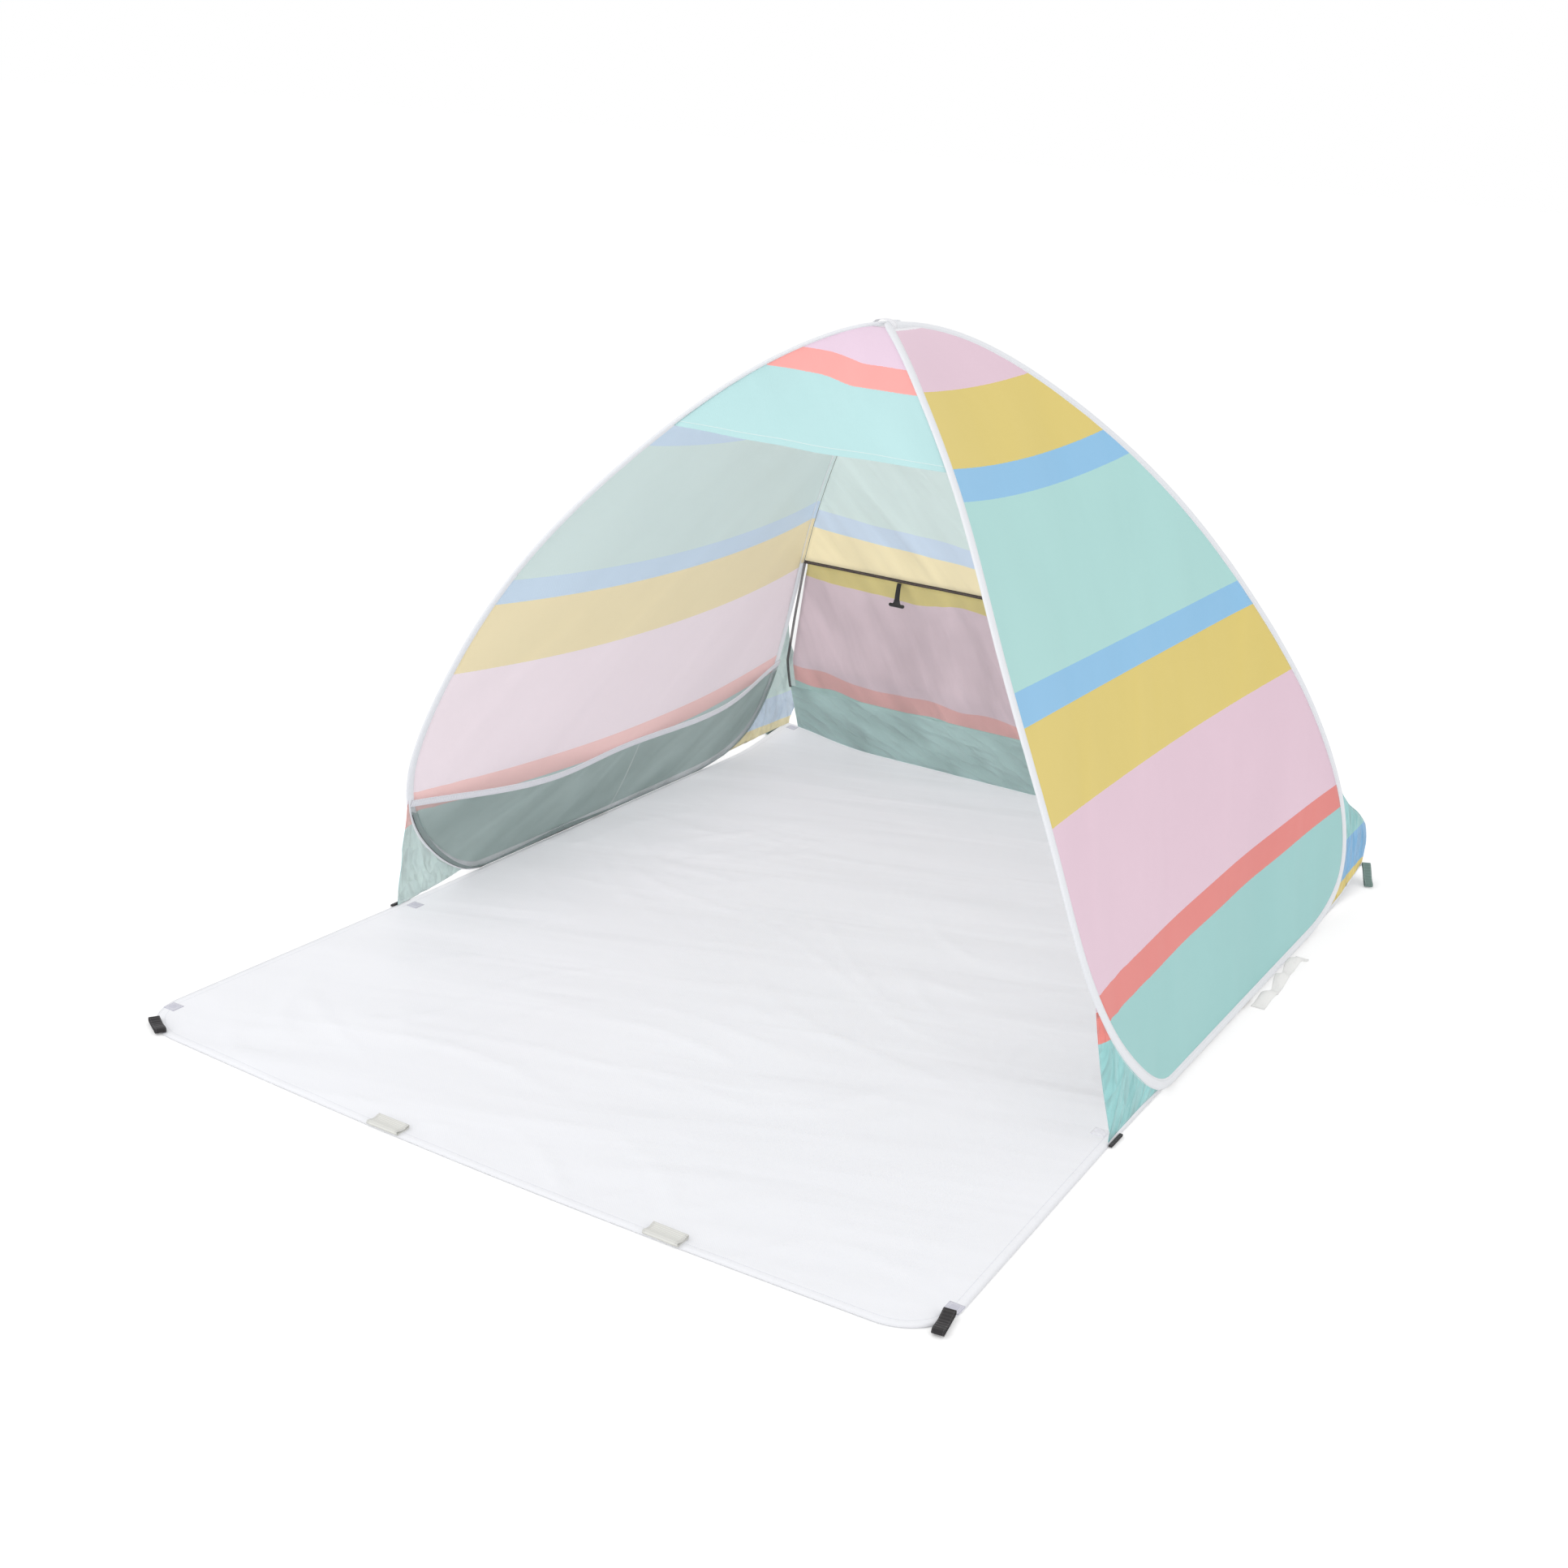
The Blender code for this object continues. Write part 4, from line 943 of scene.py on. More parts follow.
def makeRearPanel():
    cloth = Rows()
    for k in [0.5 * finer, *range(2, seamLevel), levelAt(seamZ - 0.001)]:
        row = spanRow(rearAt, k)
        _, last = row[-1]
        share = math.sin(math.pi * k / seamLevel) * smooth(0, rearPanel["calmBelow"], last.z - seamZ)
        half = max(last.x, 0.02)
        cloth.start()
        for across, point in row:
            x, z = point.x, point.z
            calm = math.sin(math.pi * across)
            lift = rearPanel["fold"] * math.sin(8 * math.pi * across + math.pi * share)
            lift += rearPanel["ripple"] * ripple(x + 0.6 * z, z * 0.5, 21, 0.20)
            lift += rearPanel["ridge"] * ridge(x, z, 22, 0.35, 0.08, -1.0)
            waver = rearPanel["waver"] * calm * ripple(x + 0.4 * z, z * 0.3, 26, 0.11)
            point.y += lift * share * calm
            cloth.add(point, (x, backPrint(x, z, half) + waver))
    obj = cloth.mesh("rearPanelCloth", (0, 1, 0.6), edgeDistances(cloth.points))
    thicken(obj, span["thickness"], panelOutside, panelInside)
    acrossFold(obj)
    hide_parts("rear_panel")
    declareSheet(obj, cloth.points, ["leftSleeveCloth", "rightSleeveCloth"])


def makeSeamTape():
    cloth = Rows()
    tuck = rearPanel["tapeTuck"]
    for r in range(rearPanel["tapeRows"] + 1):
        share = r / rearPanel["tapeRows"]
        bulge = rearPanel["tapeBulge"] * math.sin(math.pi * share)
        cloth.start()
        for _, point in spanRow(rearAt, mix(seamTop, seamFoot, tuck + (1 - 2 * tuck) * share)):
            point.y += bulge + rearPanel["tapeRipple"] * (ripple(point.x, share, 23, 0.05) - 1)
            point.z += rearPanel["tapeWaver"] * ripple(point.x, 0, 24, 0.09)
            cloth.add(point, (point.x, rearPanel["tape"] * share),
                      (min(share, 1 - share) * rearPanel["tape"], point.x))
    obj = cloth.mesh("windowSeamTape", (0, 1, 0))
    thicken(obj, rearPanel["tapeThickness"], seamWebbing)
    acrossFold(obj)
    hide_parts("window_seam_tape")


window = {
    "turnLevel": 21 * finer, "endLevel": 23 * finer, "inset": 0.003, "fold": 0.0030, "wrinkle": 0.0032,
    "binding": 0.0025, "reach": 0.0040, "bindingThickness": 0.0012, "bindingRipple": 0.0007,
    "bindingBulge": 0.0006, "slit": 0.030, "netStep": 0.0004, "netBehind": 0.0030, "footSteps": 16,
    "skirtFootInset": 0.008, "skirtCornerInset": 0.036,
}
skirt = {"rows": 18, "fold": 0.0045, "ridge": 0.0060, "ripple": 0.0040, "overlap": 0.004, "step": 0.0008}
skirtFoot = Vector((
    tent["floorWidth"] / 2 - window["skirtCornerInset"], floorRear - window["skirtFootInset"], 0.0022))


def backPlace(k):
    if k <= window["turnLevel"]:
        edge = spanEdge(rearAt, k)
        return edge.y, edge.z
    turn = spanEdge(rearAt, window["turnLevel"])
    z = rearLine[k][1]
    return mix(turn.y, skirtFoot.y, (turn.z - z) / turn.z), z


def windowHalfWidth(k):
    z = rearLine[k][1]
    drop = (seamZ - z) / (seamZ - rearLine[window["endLevel"]][1])
    edge = spanEdge(rearAt, seamFoot).x - halfWidth(seamZ - rearPanel["tape"] / 2)
    return halfWidth(z) + edge - window["slit"] * min(max(drop, 0), 1) ** 1.5


def windowPlaces():
    # the window's half width, y and z from its seam to its foot
    first = spanEdge(rearAt, levelAt(seamZ - 0.001))
    levels = range(seamLevel + 1, window["endLevel"] + 1)
    return [tuple(first), *((windowHalfWidth(k), *backPlace(k)) for k in levels)]


def makeNet(places):
    # the net, which runs on behind the skirt to the floor
    netRows = len(places) - 1
    skirtRows = window["footSteps"]
    half, topY, topZ = places[-1]
    places = list(places)
    for i in range(1, skirtRows + 1):
        share = i / skirtRows
        places.append((mix(half, skirtFoot.x, share), mix(topY, skirtFoot.y, share), mix(topZ, 0.004, share)))
    cloth = Rows()
    for number, (half, y, level) in enumerate(places):
        share = min(number / netRows, 1)
        bend = window["fold"] * math.sin(math.pi * share)
        cloth.start()
        for i in range(span["columns"] + 1):
            across = i / span["columns"]
            x, z = (half - window["inset"]) * (2 * across - 1), level
            calm = math.sin(math.pi * across) ** 0.5
            lift = bend * calm * math.sin(10 * math.pi * across + 3 * share)
            lift += window["wrinkle"] * calm * math.sin(math.pi * share) * ridge(x, z, 31, 0.50, 0.045, 0.05)
            if number > netRows:
                low = (number - netRows) / skirtRows
                lift = skirtLift(across, low, x, z) - window["netBehind"]
                z += cornerLift(x, skirtFoot.y) * low
            cloth.add(Vector((x, y + lift - window["netStep"], z)), (x, z))
    net = cloth.mesh("windowNet", (0, -1, 0), edgeDistances(cloth.points))
    net.data.materials.append(windowNetMaterial)
    acrossFold(net)
    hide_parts("window_net")
    declareSheet(net, cloth.points, ["windowSeamTape"])


def makeBinding(side, sign, places):
    cloth = Rows()
    run = 0.0
    steps = 4
    for number, (half, y, z) in enumerate(places):
        if number:
            run += (Vector(places[number - 1]) - Vector((half, y, z))).length
        cloth.start()
        for j in range(steps + 1):
            share = j / steps
            out = mix(-window["binding"], window["reach"], share)
            wave = window["bindingRipple"] * ripple(z, share * 0.1, 33 + sign, 0.04)
            wave += window["bindingBulge"] * math.sin(math.pi * share)
            cloth.add(Vector((sign * (half + out), y + wave, z)), (run, share * window["binding"]),
                      (min(share, 1 - share) * window["binding"], run))
    piece = cloth.mesh(side + "WindowBinding", (0, -1, 0))
    thicken(piece, window["bindingThickness"], bindingMaterial)
    acrossFold(piece)
    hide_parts(side + "_window_binding")


def skirtLift(across, share, x, z):
    calm = math.sin(math.pi * across)
    lift = skirt["fold"] * math.sin(math.pi * share) * calm * math.sin(8 * math.pi * across + 1.0)
    lift += skirt["ridge"] * calm * smooth(0, 0.3, share) * ridge(x, z, 41, 0.22, 0.045, -0.35)
    return lift + skirt["ripple"] * calm * smooth(0, 0.3, share) * ripple(x, z * 1.5, 42, 0.06)


def makeSkirt():
    topY, topZ = backPlace(window["endLevel"])
    topHalf = windowHalfWidth(window["endLevel"])
    cloth = Rows()
    for number in range(skirt["rows"] + 1):
        share = number / skirt["rows"]
        half = mix(topHalf, skirtFoot.x, share)
        y = mix(topY, skirtFoot.y, share)
        z = mix(topZ + skirt["overlap"], skirtFoot.z, share)
        cloth.start()
        for i in range(span["columns"] + 1):
            across = i / span["columns"]
            x = half * (2 * across - 1)
            lift = skirtLift(across, share, x, z) - skirt["step"] * (1 - share)
            cloth.add(Vector((x, y + lift, z + cornerLift(x, skirtFoot.y) * share)), (x, z))
    obj = cloth.mesh("rearSkirtCloth", (0, 1, 0.3), edgeDistances(cloth.points))
    thicken(obj, span["thickness"], skirtOutside, skirtInside)
    acrossFold(obj)
    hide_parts("rear_skirt")
    declareSheet(obj, cloth.points, ["windowNet"])


flap = {"standOff": 0.010, "hingeStandOff": 0.003, "inset": 0.0045, "endLevel": 24 * finer, "fold": 0.0055,
        "ripple": 0.0014, "gather": 0.0016, "ridge": 0.0040, "hem": 0.012, "hemGap": 0.0011,
        "printDip": 0.022, "printLow": 0.036, "printHigh": 0.018, "waver": 0.016,
        "gatherX": -0.595, "gatherKeep": 0.22}


def flapLift(across, share, x, z):
    # long folds, fine ripples, gathers just under the seam, and creases
    wave = math.sin(8 * math.pi * across + share + 0.5 * ripple(x, z, 51, 0.3))
    gathers = 1 + math.sin(x * 170 + 3 * ripple(x, 0, 53, 0.2))
    lift = flap["fold"] * share * (1 + wave)
    lift += flap["ripple"] * smooth(0, 0.2, share) * (1 + ripple(x, z * 0.6, 52, 0.07))
    lift += flap["gather"] * smooth(0, 0.03, share) * math.exp(-share / 0.18) * gathers
    return lift + flap["ridge"] * smooth(0.05, 0.4, share) * ridge(x, z, 54, 0.30, 0.07, 1.1)


def makeFlap():
    cloth = Rows()
    levels = range(seamLevel, flap["endLevel"] + 1)
    for k in levels:
        share = (k - seamLevel) / (len(levels) - 1)
        y, z = backPlace(k)
        y += mix(flap["hingeStandOff"], flap["standOff"], min(3 * share, 1))
        half = windowHalfWidth(k) - flap["inset"]
        cloth.start()
        for i in range(span["columns"] + 1):
            across = i / span["columns"]
            x = half * (2 * across - 1)
            dip = mix(flap["printHigh"], flap["printLow"], smooth(0.48, 0.22, z)) * (1 - (x / half) ** 2)
            waver = flap["waver"] * ripple(x + 0.3 * z, z * 0.3, 27, 0.10)
            lift = flapLift(across, share, x, z)
            cloth.add(Vector((x, y + lift, z)), (x, z + flap["printDip"] + dip + waver))
    addHem(cloth, flap["hem"], flap["hemGap"], Vector((0, -1, 0)))
    obj = cloth.mesh("windowFlapCloth", (0, 1, 0), hemDistances(cloth.points, 3))
    thicken(obj, span["thickness"], flapOutside, flapInside)
    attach(obj, "flap")
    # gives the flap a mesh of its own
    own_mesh(obj)
    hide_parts("window_flap")
    declareSheet(obj, cloth.points, ["windowSeamTape"])


def seamMaterial():
    # an overlocked seam: two dark rows of thread with a paler row between them
    material, tree, shader = newMaterial("window seam")
    place = uvNode(tree, "print")
    x, y = splitNode(tree, place)
    thread = (x * 2200.0 + y * 900.0).apply("SINE").scaled(0.5, 0.5)
    wander = (noiseNode(tree, place, 180.0) - 0.5) * 0.003
    middle = (y - rearPanel["tape"] / 2).apply("ABSOLUTE") + wander
    pale = mixColour(tree, thread, colour((128, 116, 108)), colour((84, 74, 70)))
    dark = mixColour(tree, thread, colour((54, 46, 44)), colour((72, 62, 58)))
    fill(tree, shader, {"Base Color": mixColour(tree, middle < 0.0013, dark, pale),
                        "Normal": bumpNode(tree, thread, 0.0005), "Roughness": 0.8})
    return material


backBands = [
    ("pink", 0.508), ("yellow", 0.652), ("blue", 0.700), ("teal", 0.955), ("blue", 1.000), ("yellow", 1.100),
    ("pink", 1.300),
]
# the inside colours of the back and flap are paler, partly because the print is on the outside and partly as
# painted light shining through the cloth
backReversePaleAndLit = dict(reverse, teal=(218, 235, 231), blue=(208, 225, 242), yellow=(250, 236, 192))
flapBands = [("deepTeal", 0.205), ("coral", 0.250), ("pink", 0.508), ("yellow", 0.652), ("blue", 0.700)]
flapReversePaleAndLit = {
    "deepTeal": (194, 224, 219), "coral": (247, 192, 188), "pink": (240, 219, 226), "yellow": (238, 222, 148),
    "blue": (190, 212, 232),
}
# these cloths paint light and shade on their soft folds, most strongly on the inside faces
awningOutside = clothMaterial("awning outside", None, awningBands, awningLook, stitches=(0.012,), creases=1.6,
                              sharp=0.10, creaseSize=13.0, stretch=(-0.6, 0.22), paintedFoldShade=0.028)
awningInside = clothMaterial("awning inside", None, awningBands, awningReversePaleAndLit, creases=0.4)
panelOutside = clothMaterial("panel outside", None, backBands, printed, creases=1.6, sharp=0.10,
                             creaseSize=14.0, stretch=(-1.05, 0.22), paintedFoldShade=0.035)
panelInside = clothMaterial("panel inside", None, backBands, backReversePaleAndLit, creases=2.0, sharp=0.10,
                            creaseSize=16.0, stretch=(-1.05, 0.22), paintedFoldShade=0.060)
flapOutside = clothMaterial("flap outside", None, flapBands, printed, creases=2.0, sharp=0.25,
                            creaseSize=14.0, stretch=(-1.25, 0.3), stitches=(0.010,), paintedFoldShade=0.045)
flapInside = clothMaterial("flap inside", None, flapBands, flapReversePaleAndLit, creases=2.0, sharp=0.25, creaseSize=15.0,
                           stretch=(-1.25, 0.26), paintedFoldShade=0.095)
skirtOutside = clothMaterial("skirt outside", (170, 214, 208), creases=2.2, sharp=0.5, creaseSize=18.0,
                             stretch=(-0.4, 0.45), paintedFoldShade=0.05)
# the skirt's inside colour is paler, as painted light shining through the cloth
skirtInside = clothMaterial("skirt inside", (190, 221, 217), creases=2.6, sharp=0.6, creaseSize=18.0,
                            stretch=(-0.45, 0.40), paintedFoldShade=0.11)
windowNetMaterial = netMaterial("window net", (82, 74, 78), 0.15, creaseLines=(12.0, -1.2, 0.22))
blackWebbing = tapeMaterial("black webbing", (38, 35, 37), stitches=(0.0015,), thread=(70, 68, 70))
seamWebbing = seamMaterial()
bindingMaterial = netMaterial("net binding", (64, 48, 54), 0.62)
makeAwning()
makeRearPanel()
makeSeamTape()
bindingPlaces = windowPlaces()
makeNet(bindingPlaces)
for sideName, sideSign in sides:
    makeBinding(sideName, sideSign, bindingPlaces)
makeSkirt()
makeFlap()
print("awning, back, window and flap made")

# pockets
pocket = {"topEnds": 0.222, "topMiddle": 0.181, "clearance": 0.0056, "bulge": 0.030, "over": -0.0052,
          "crease": 0.0050, "ripple": 0.0030, "columns": 96, "rows": 20, "band": 0.014,
          "bandThickness": 0.0018, "bandRows": 6, "bandGather": 0.0006, "bandGap": 0.0003}


def wallEdge(side, z, pick):
    for k in range(finer, levelCount):
        upper = insetPoint(side, pick(k), pocket["over"])
        lower = insetPoint(side, pick(k + 1), pocket["over"])
        if lower.z <= z <= upper.z:
            return upper.lerp(lower, (upper.z - z) / (upper.z - lower.z))
    return insetPoint(side, pick(levelCount), pocket["over"])


def pocketTop(u):
    return mix(pocket["topMiddle"], pocket["topEnds"], (2 * u - 1) ** 2)


def pocketPoint(sign, u, drop, footZ, frontY, rearY):
    z = mix(pocketTop(u), footZ, drop)
    y = mix(frontY, rearY, u)
    swell = math.sin(2 * math.pi * u) ** 2 * (1 - drop) ** 1.5
    divided = (0.3 + 0.7 * abs(math.sin(2 * math.pi * u))) * (1 - drop)
    crease = pocket["crease"] * divided * ridge(y, z, 61 + sign, 0.22, 0.045, -0.5) * smooth(0, 0.1, drop)
    rippled = ripple(y + 0.5 * z, z * 0.3, 62 + sign, 0.07) * smooth(0, 0.15, drop)
    crease += pocket["ripple"] * divided * rippled
    inset = wallDraw(u, z)[0] + pocket["clearance"] + pocket["bulge"] * swell + crease
    return Vector((sign * (halfWidth(z) - inset), y, z))


def makePocket(side, sign):
    footZ = max(insetPoint(side, levelCount + 3, pocket["over"]).z, 0.0032)
    rows = []
    for i in range(pocket["rows"] + 1):
        drop = i / pocket["rows"]
        level = mix(pocket["topEnds"], footZ, drop)
        front, rear = (wallEdge(side, level, pick).y for pick in (frontAt, rearAt))
        rows.append([pocketPoint(sign, j / pocket["columns"], drop, footZ, front, rear)
                     for j in range(pocket["columns"] + 1)])
    edges = edgeDistances(rows)
    # the top edge is under the band, so it shows no rim
    for i in range(2):
        edges[i] = [(max(near, 0.02), run) for near, run in edges[i]]
    prints = [[(p.y, p.z) for p in row] for row in rows]
    net = gridMesh(side + "PocketNet", rows, prints, edges, (-sign, 0, 0))
    net.data.materials.append(pocketNetMaterial)
    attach(net, side + "_side")
    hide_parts(side + "_pocket")
    declareSheet(net, rows, [side + "WallCloth"])
    makePocketBand(side, sign, rows[0])


def makePocketBand(side, sign, line):
    cloth = Rows()
    for i in range(pocket["bandRows"] + 1):
        share = i / pocket["bandRows"]
        cloth.start()
        for base in line:
            rise = pocket["bandGap"] + pocket["band"] * share
            lean = halfWidth(base.z + rise) - halfWidth(base.z)
            gather = math.sin(base.y * 520 + 2 * ripple(base.y, 0, 63, 0.1)) * math.sin(math.pi * share)
            point = base + Vector((sign * (lean - pocket["bandGather"] * gather), 0, rise))
            cloth.add(point, (point.y, share * pocket["band"]),
                      (min(share, 1 - share) * pocket["band"], point.y))
    band = cloth.mesh(side + "PocketBand", (-sign, 0, 0))
    thicken(band, pocket["bandThickness"], elasticMaterial)
    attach(band, side + "_side")
    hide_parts(side + "_pocket_band")


pocketNetMaterial = netMaterial("pocket net", (102, 122, 119), 0.34, edgeBlack=0.0022,
                                creaseLines=(12.0, 0.6, 0.50), divider=-0.04, rim=0.0165)
elasticMaterial = tapeMaterial("elastic band", (232, 232, 238), ribs=1500.0, depth=0.00025, rough=0.7,
                               stitches=(0.003,), thread=(214, 214, 220), wear=0.04)
for sideName, sideSign in sides:
    makePocket(sideName, sideSign)
print("pockets made")

# gussets
gusset = {"top": 21 * finer, "rearRise": 6, "end": 27 * finer, "columns": 36, "cornerStep": 0.003,
          "fold": 0.004, "cornerInset": 0.004, "belly": 1.299, "tuck": 0.0045}
gussetKinds = {
    "front": {"way": -1, "pick": frontAt, "corner": floorFront, "bow": 0.006, "crinkle": 0.0042,
              "size": 0.05},
    "rear": {"way": 1, "pick": rearAt, "corner": floorRear, "bow": 0.070, "crinkle": 0.0060, "size": 0.035},
}


def makeGusset(side, sign, kind):
    form = gussetKinds[kind]
    bow, size = form["way"], form["size"]
    stations = hoops[side][0]
    corner = Vector((sign * (tent["floorWidth"] / 2 - gusset["cornerInset"]), form["corner"], 0.0021))
    corner.z += cornerLift(corner.x, corner.y)
    raised = gusset["rearRise"] if (side, kind) == ("left", "rear") else 0
    levels = range(gusset["top"] - raised, gusset["end"] + 1)
    last = len(levels) - 1
    cloth = Rows()
    for number, k in enumerate(levels):
        share = number / last
        base = corner + Vector((0, 0, gusset["cornerStep"] * 6 * (1 - share)))
        index = form["pick"](k)
        tip = edgePoint(side, index, base - stations[index], tubeGap - gusset["tuck"])
        way = Vector((sign, bow, 0)).normalized()
        wave = gusset["fold"] * math.sin(2 * math.pi * share + bow)
        cloth.start()
        for i in range(gusset["columns"] + 1):
            along = i / gusset["columns"]
            point = base.lerp(tip, along)
            calm = math.sin(math.pi * along)
            low = calm if kind == "front" else calm * (1 + math.cos(math.pi * along)) / gusset["belly"]
            point += Vector((0, bow, 0)) * (form["bow"] * low * (1 - share)) + way * (wave * calm)
            crinkle = ridge(point.y + sign, point.z, 71 + bow + sign, size * 2.2, size, 1.1)
            crinkle += 0.5 * ripple(point.y, point.z, 72 + sign, size * 1.3)
            point += way * (form["crinkle"] * calm * smooth(0, 0.12, along) * crinkle)
            cloth.add(point, (point.y * sign, point.z))
    obj = cloth.mesh(kind + side.capitalize() + "Gusset", (sign * 0.2, bow, 0), edgeDistances(cloth.points))
    thicken(obj, span["thickness"], *(gussetMaterials[kind, side, face] for face in ("outside", "inside")))
    if side == "left":
        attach(obj, "left_side")
    else:
        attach(obj, "right_side")
    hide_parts(kind + "_" + side + "_gusset")
    declareSheet(obj, cloth.points, [side + "SleeveCloth", "floorSheet"])


gussetBands = {
    "front": [("teal", 0.175), ("coral", 0.227), ("pink", 0.60)],
    "rear": [("yellow", 0.045), ("blue", 0.125), ("teal", 0.60)],
}
gussetLook = {
    "outside": {"teal": (152, 208, 208), "coral": (232, 132, 124), "pink": (230, 204, 216),
                "yellow": (228, 206, 118), "blue": (130, 184, 226)},
    # the inside colours are paler, partly because the print is on the outside and partly as painted light
    # shining through the cloth
    "inside": {"teal": (204, 224, 220), "coral": (240, 196, 190), "pink": (232, 218, 224),
               "yellow": (232, 220, 176), "blue": (200, 216, 232)},
}
gussetMaterials = {}
for kindName, bandList in gussetBands.items():
    for sideName, _ in sides:
        for face in ("outside", "inside"):
            # each gusset face paints light and shade on its soft folds
            gussetMaterials[kindName, sideName, face] = clothMaterial(
                " ".join((kindName, sideName, "gusset", face)), None, bandList, gussetLook[face], creases=3.4,
                sharp=1.0, creaseSize=17.0, stretch=(1.2, 0.5), paintedFoldShade=0.085, stitches=(0.006,))
for sideName, sideSign in sides:
    makeGusset(sideName, sideSign, "front")
    makeGusset(sideName, sideSign, "rear")
print("gussets made")

# floor sheet with its apron
floorPlan = {"leftRadius": 0.110, "rightRadius": 0.095, "flare": 0.010, "bow": 0.018, "cell": 0.0135,
             "hem": 0.018, "hemRise": 0.0007, "lift": 0.0052, "thickness": 0.0008, "rest": 0.0006,
             "rowShare": 0.87, "margin": 0.7, "clear": 0.62,
             "cornerSteps": 24, "edgeSteps": 60}
hemInsets = [floorPlan["hem"] * share for share in (0.0, 0.5, 1.0, 1.45)]
floorHalf = tent["floorWidth"] / 2


def apronCorner(side, sign, turn):
    radius = floorPlan[side + "Radius"]
    x = floorHalf + floorPlan["flare"] - radius * (1 - math.cos(turn))
    return sign * x, floorFront - tent["apronLength"] + radius * (1 - math.sin(turn))


def apronEdge(x):
    radius = floorPlan["leftRadius"] if x < 0 else floorPlan["rightRadius"]
    straight = floorHalf + floorPlan["flare"] - radius
    return floorFront - tent["apronLength"] - floorPlan["bow"] * math.cos(math.pi / 2 * x / straight)


def closed(loop):
    # each point of a closed line with the next one
    return zip(loop, loop[1:] + loop[:1])


def floorOutline():
    steps = floorPlan["cornerSteps"]
    left, right = ([apronCorner(side, sign, math.pi / 2 * i / steps) for i in range(steps + 1)]
                   for side, sign in sides)
    points = [(-floorHalf, floorRear), (floorHalf, floorRear), (floorHalf, floorFront), *right]
    for i in range(1, floorPlan["edgeSteps"]):
        x = mix(right[-1][0], left[-1][0], i / floorPlan["edgeSteps"])
        points.append((x, apronEdge(x)))
    points += reversed(left)
    points.append((-floorHalf, floorFront))
    dense = []
    for a, b in closed(points):
        a, b = Vector(a), Vector(b)
        steps = max(1, math.ceil((b - a).length / floorPlan["cell"]))
        dense += [a.lerp(b, i / steps) for i in range(steps)]
    return dense


def floorHeight(x, y, edge):
    # the sheet lies flat where things rest on it, and lifts in long soft wrinkles elsewhere
    quiet = smooth(0.0, 0.05, edge)
    for (spotX, spotY), reach in quietPlaces:
        quiet *= smooth(reach, reach + 0.05, math.hypot(x - spotX, y - spotY))
    inside = smooth(floorFront - 0.05, floorFront + 0.10, y)
    nearHoop = smooth(0.74, 0.66, abs(x)) if y > floorFront - 0.06 else 1.0
    lift = 0.9 * ridge(x, y, 81, 0.75, 0.16, 0.12) * (1 - 0.35 * inside)
    lift += 0.7 * ridge(x, y, 82, 0.55, 0.12, -0.45) * (1 - 0.3 * inside)
    lift += 0.6 * ridge(x, y, 83, 0.40, 0.10, 1.25)
    lift += 0.22 * (1 + ripple(x, y, 84, 0.24))
    return floorPlan["lift"] * quiet * nearHoop * lift


def hemRings(outline):
    # the outline and its copies further in, which carry the hem's edge
    count = len(outline)
    sign = turnSign(outline)
    rings = [outline]
    for inset in hemInsets[1:]:
        ring = []
        for i, point in enumerate(outline):
            ahead = (outline[(i + 1) % count] - outline[i - 1]).normalized()
            ring.append(point + Vector((-ahead.y, ahead.x)) * (inset * sign))
        rings.append(ring)
    return rings


def innerPoints(inner, low, high):
    # staggered rows of points across the inside of the rings
    cell = floorPlan["cell"]
    pitch = cell * floorPlan["rowShare"]
    points = []
    for r in range(int((high - low) / pitch) + 1):
        y = low + r * pitch
        crossings = crossingsAt(inner, y)
        for a, b in zip(crossings[::2], crossings[1::2]):
            room = b - a - 2 * floorPlan["margin"] * cell
            steps = int(room / cell)
            for i in range(steps + 1):
                x = a + floorPlan["margin"] * cell + room * (i + 0.5 * (r % 2) * (i < steps)) / max(steps, 1)
                points.append(Vector((x, y)))
    near = nearRing(inner, cell * floorPlan["clear"])
    return [p for p in points if not near(p)]


def bandFaces(ringTotal, count):
    # the faces that join rings of equal length
    faces = []
    for r in range(ringTotal - 1):
        for i in range(count):
            j = (i + 1) % count
            faces.append((r * count + i, r * count + j, (r + 1) * count + j, (r + 1) * count + i))
    return faces


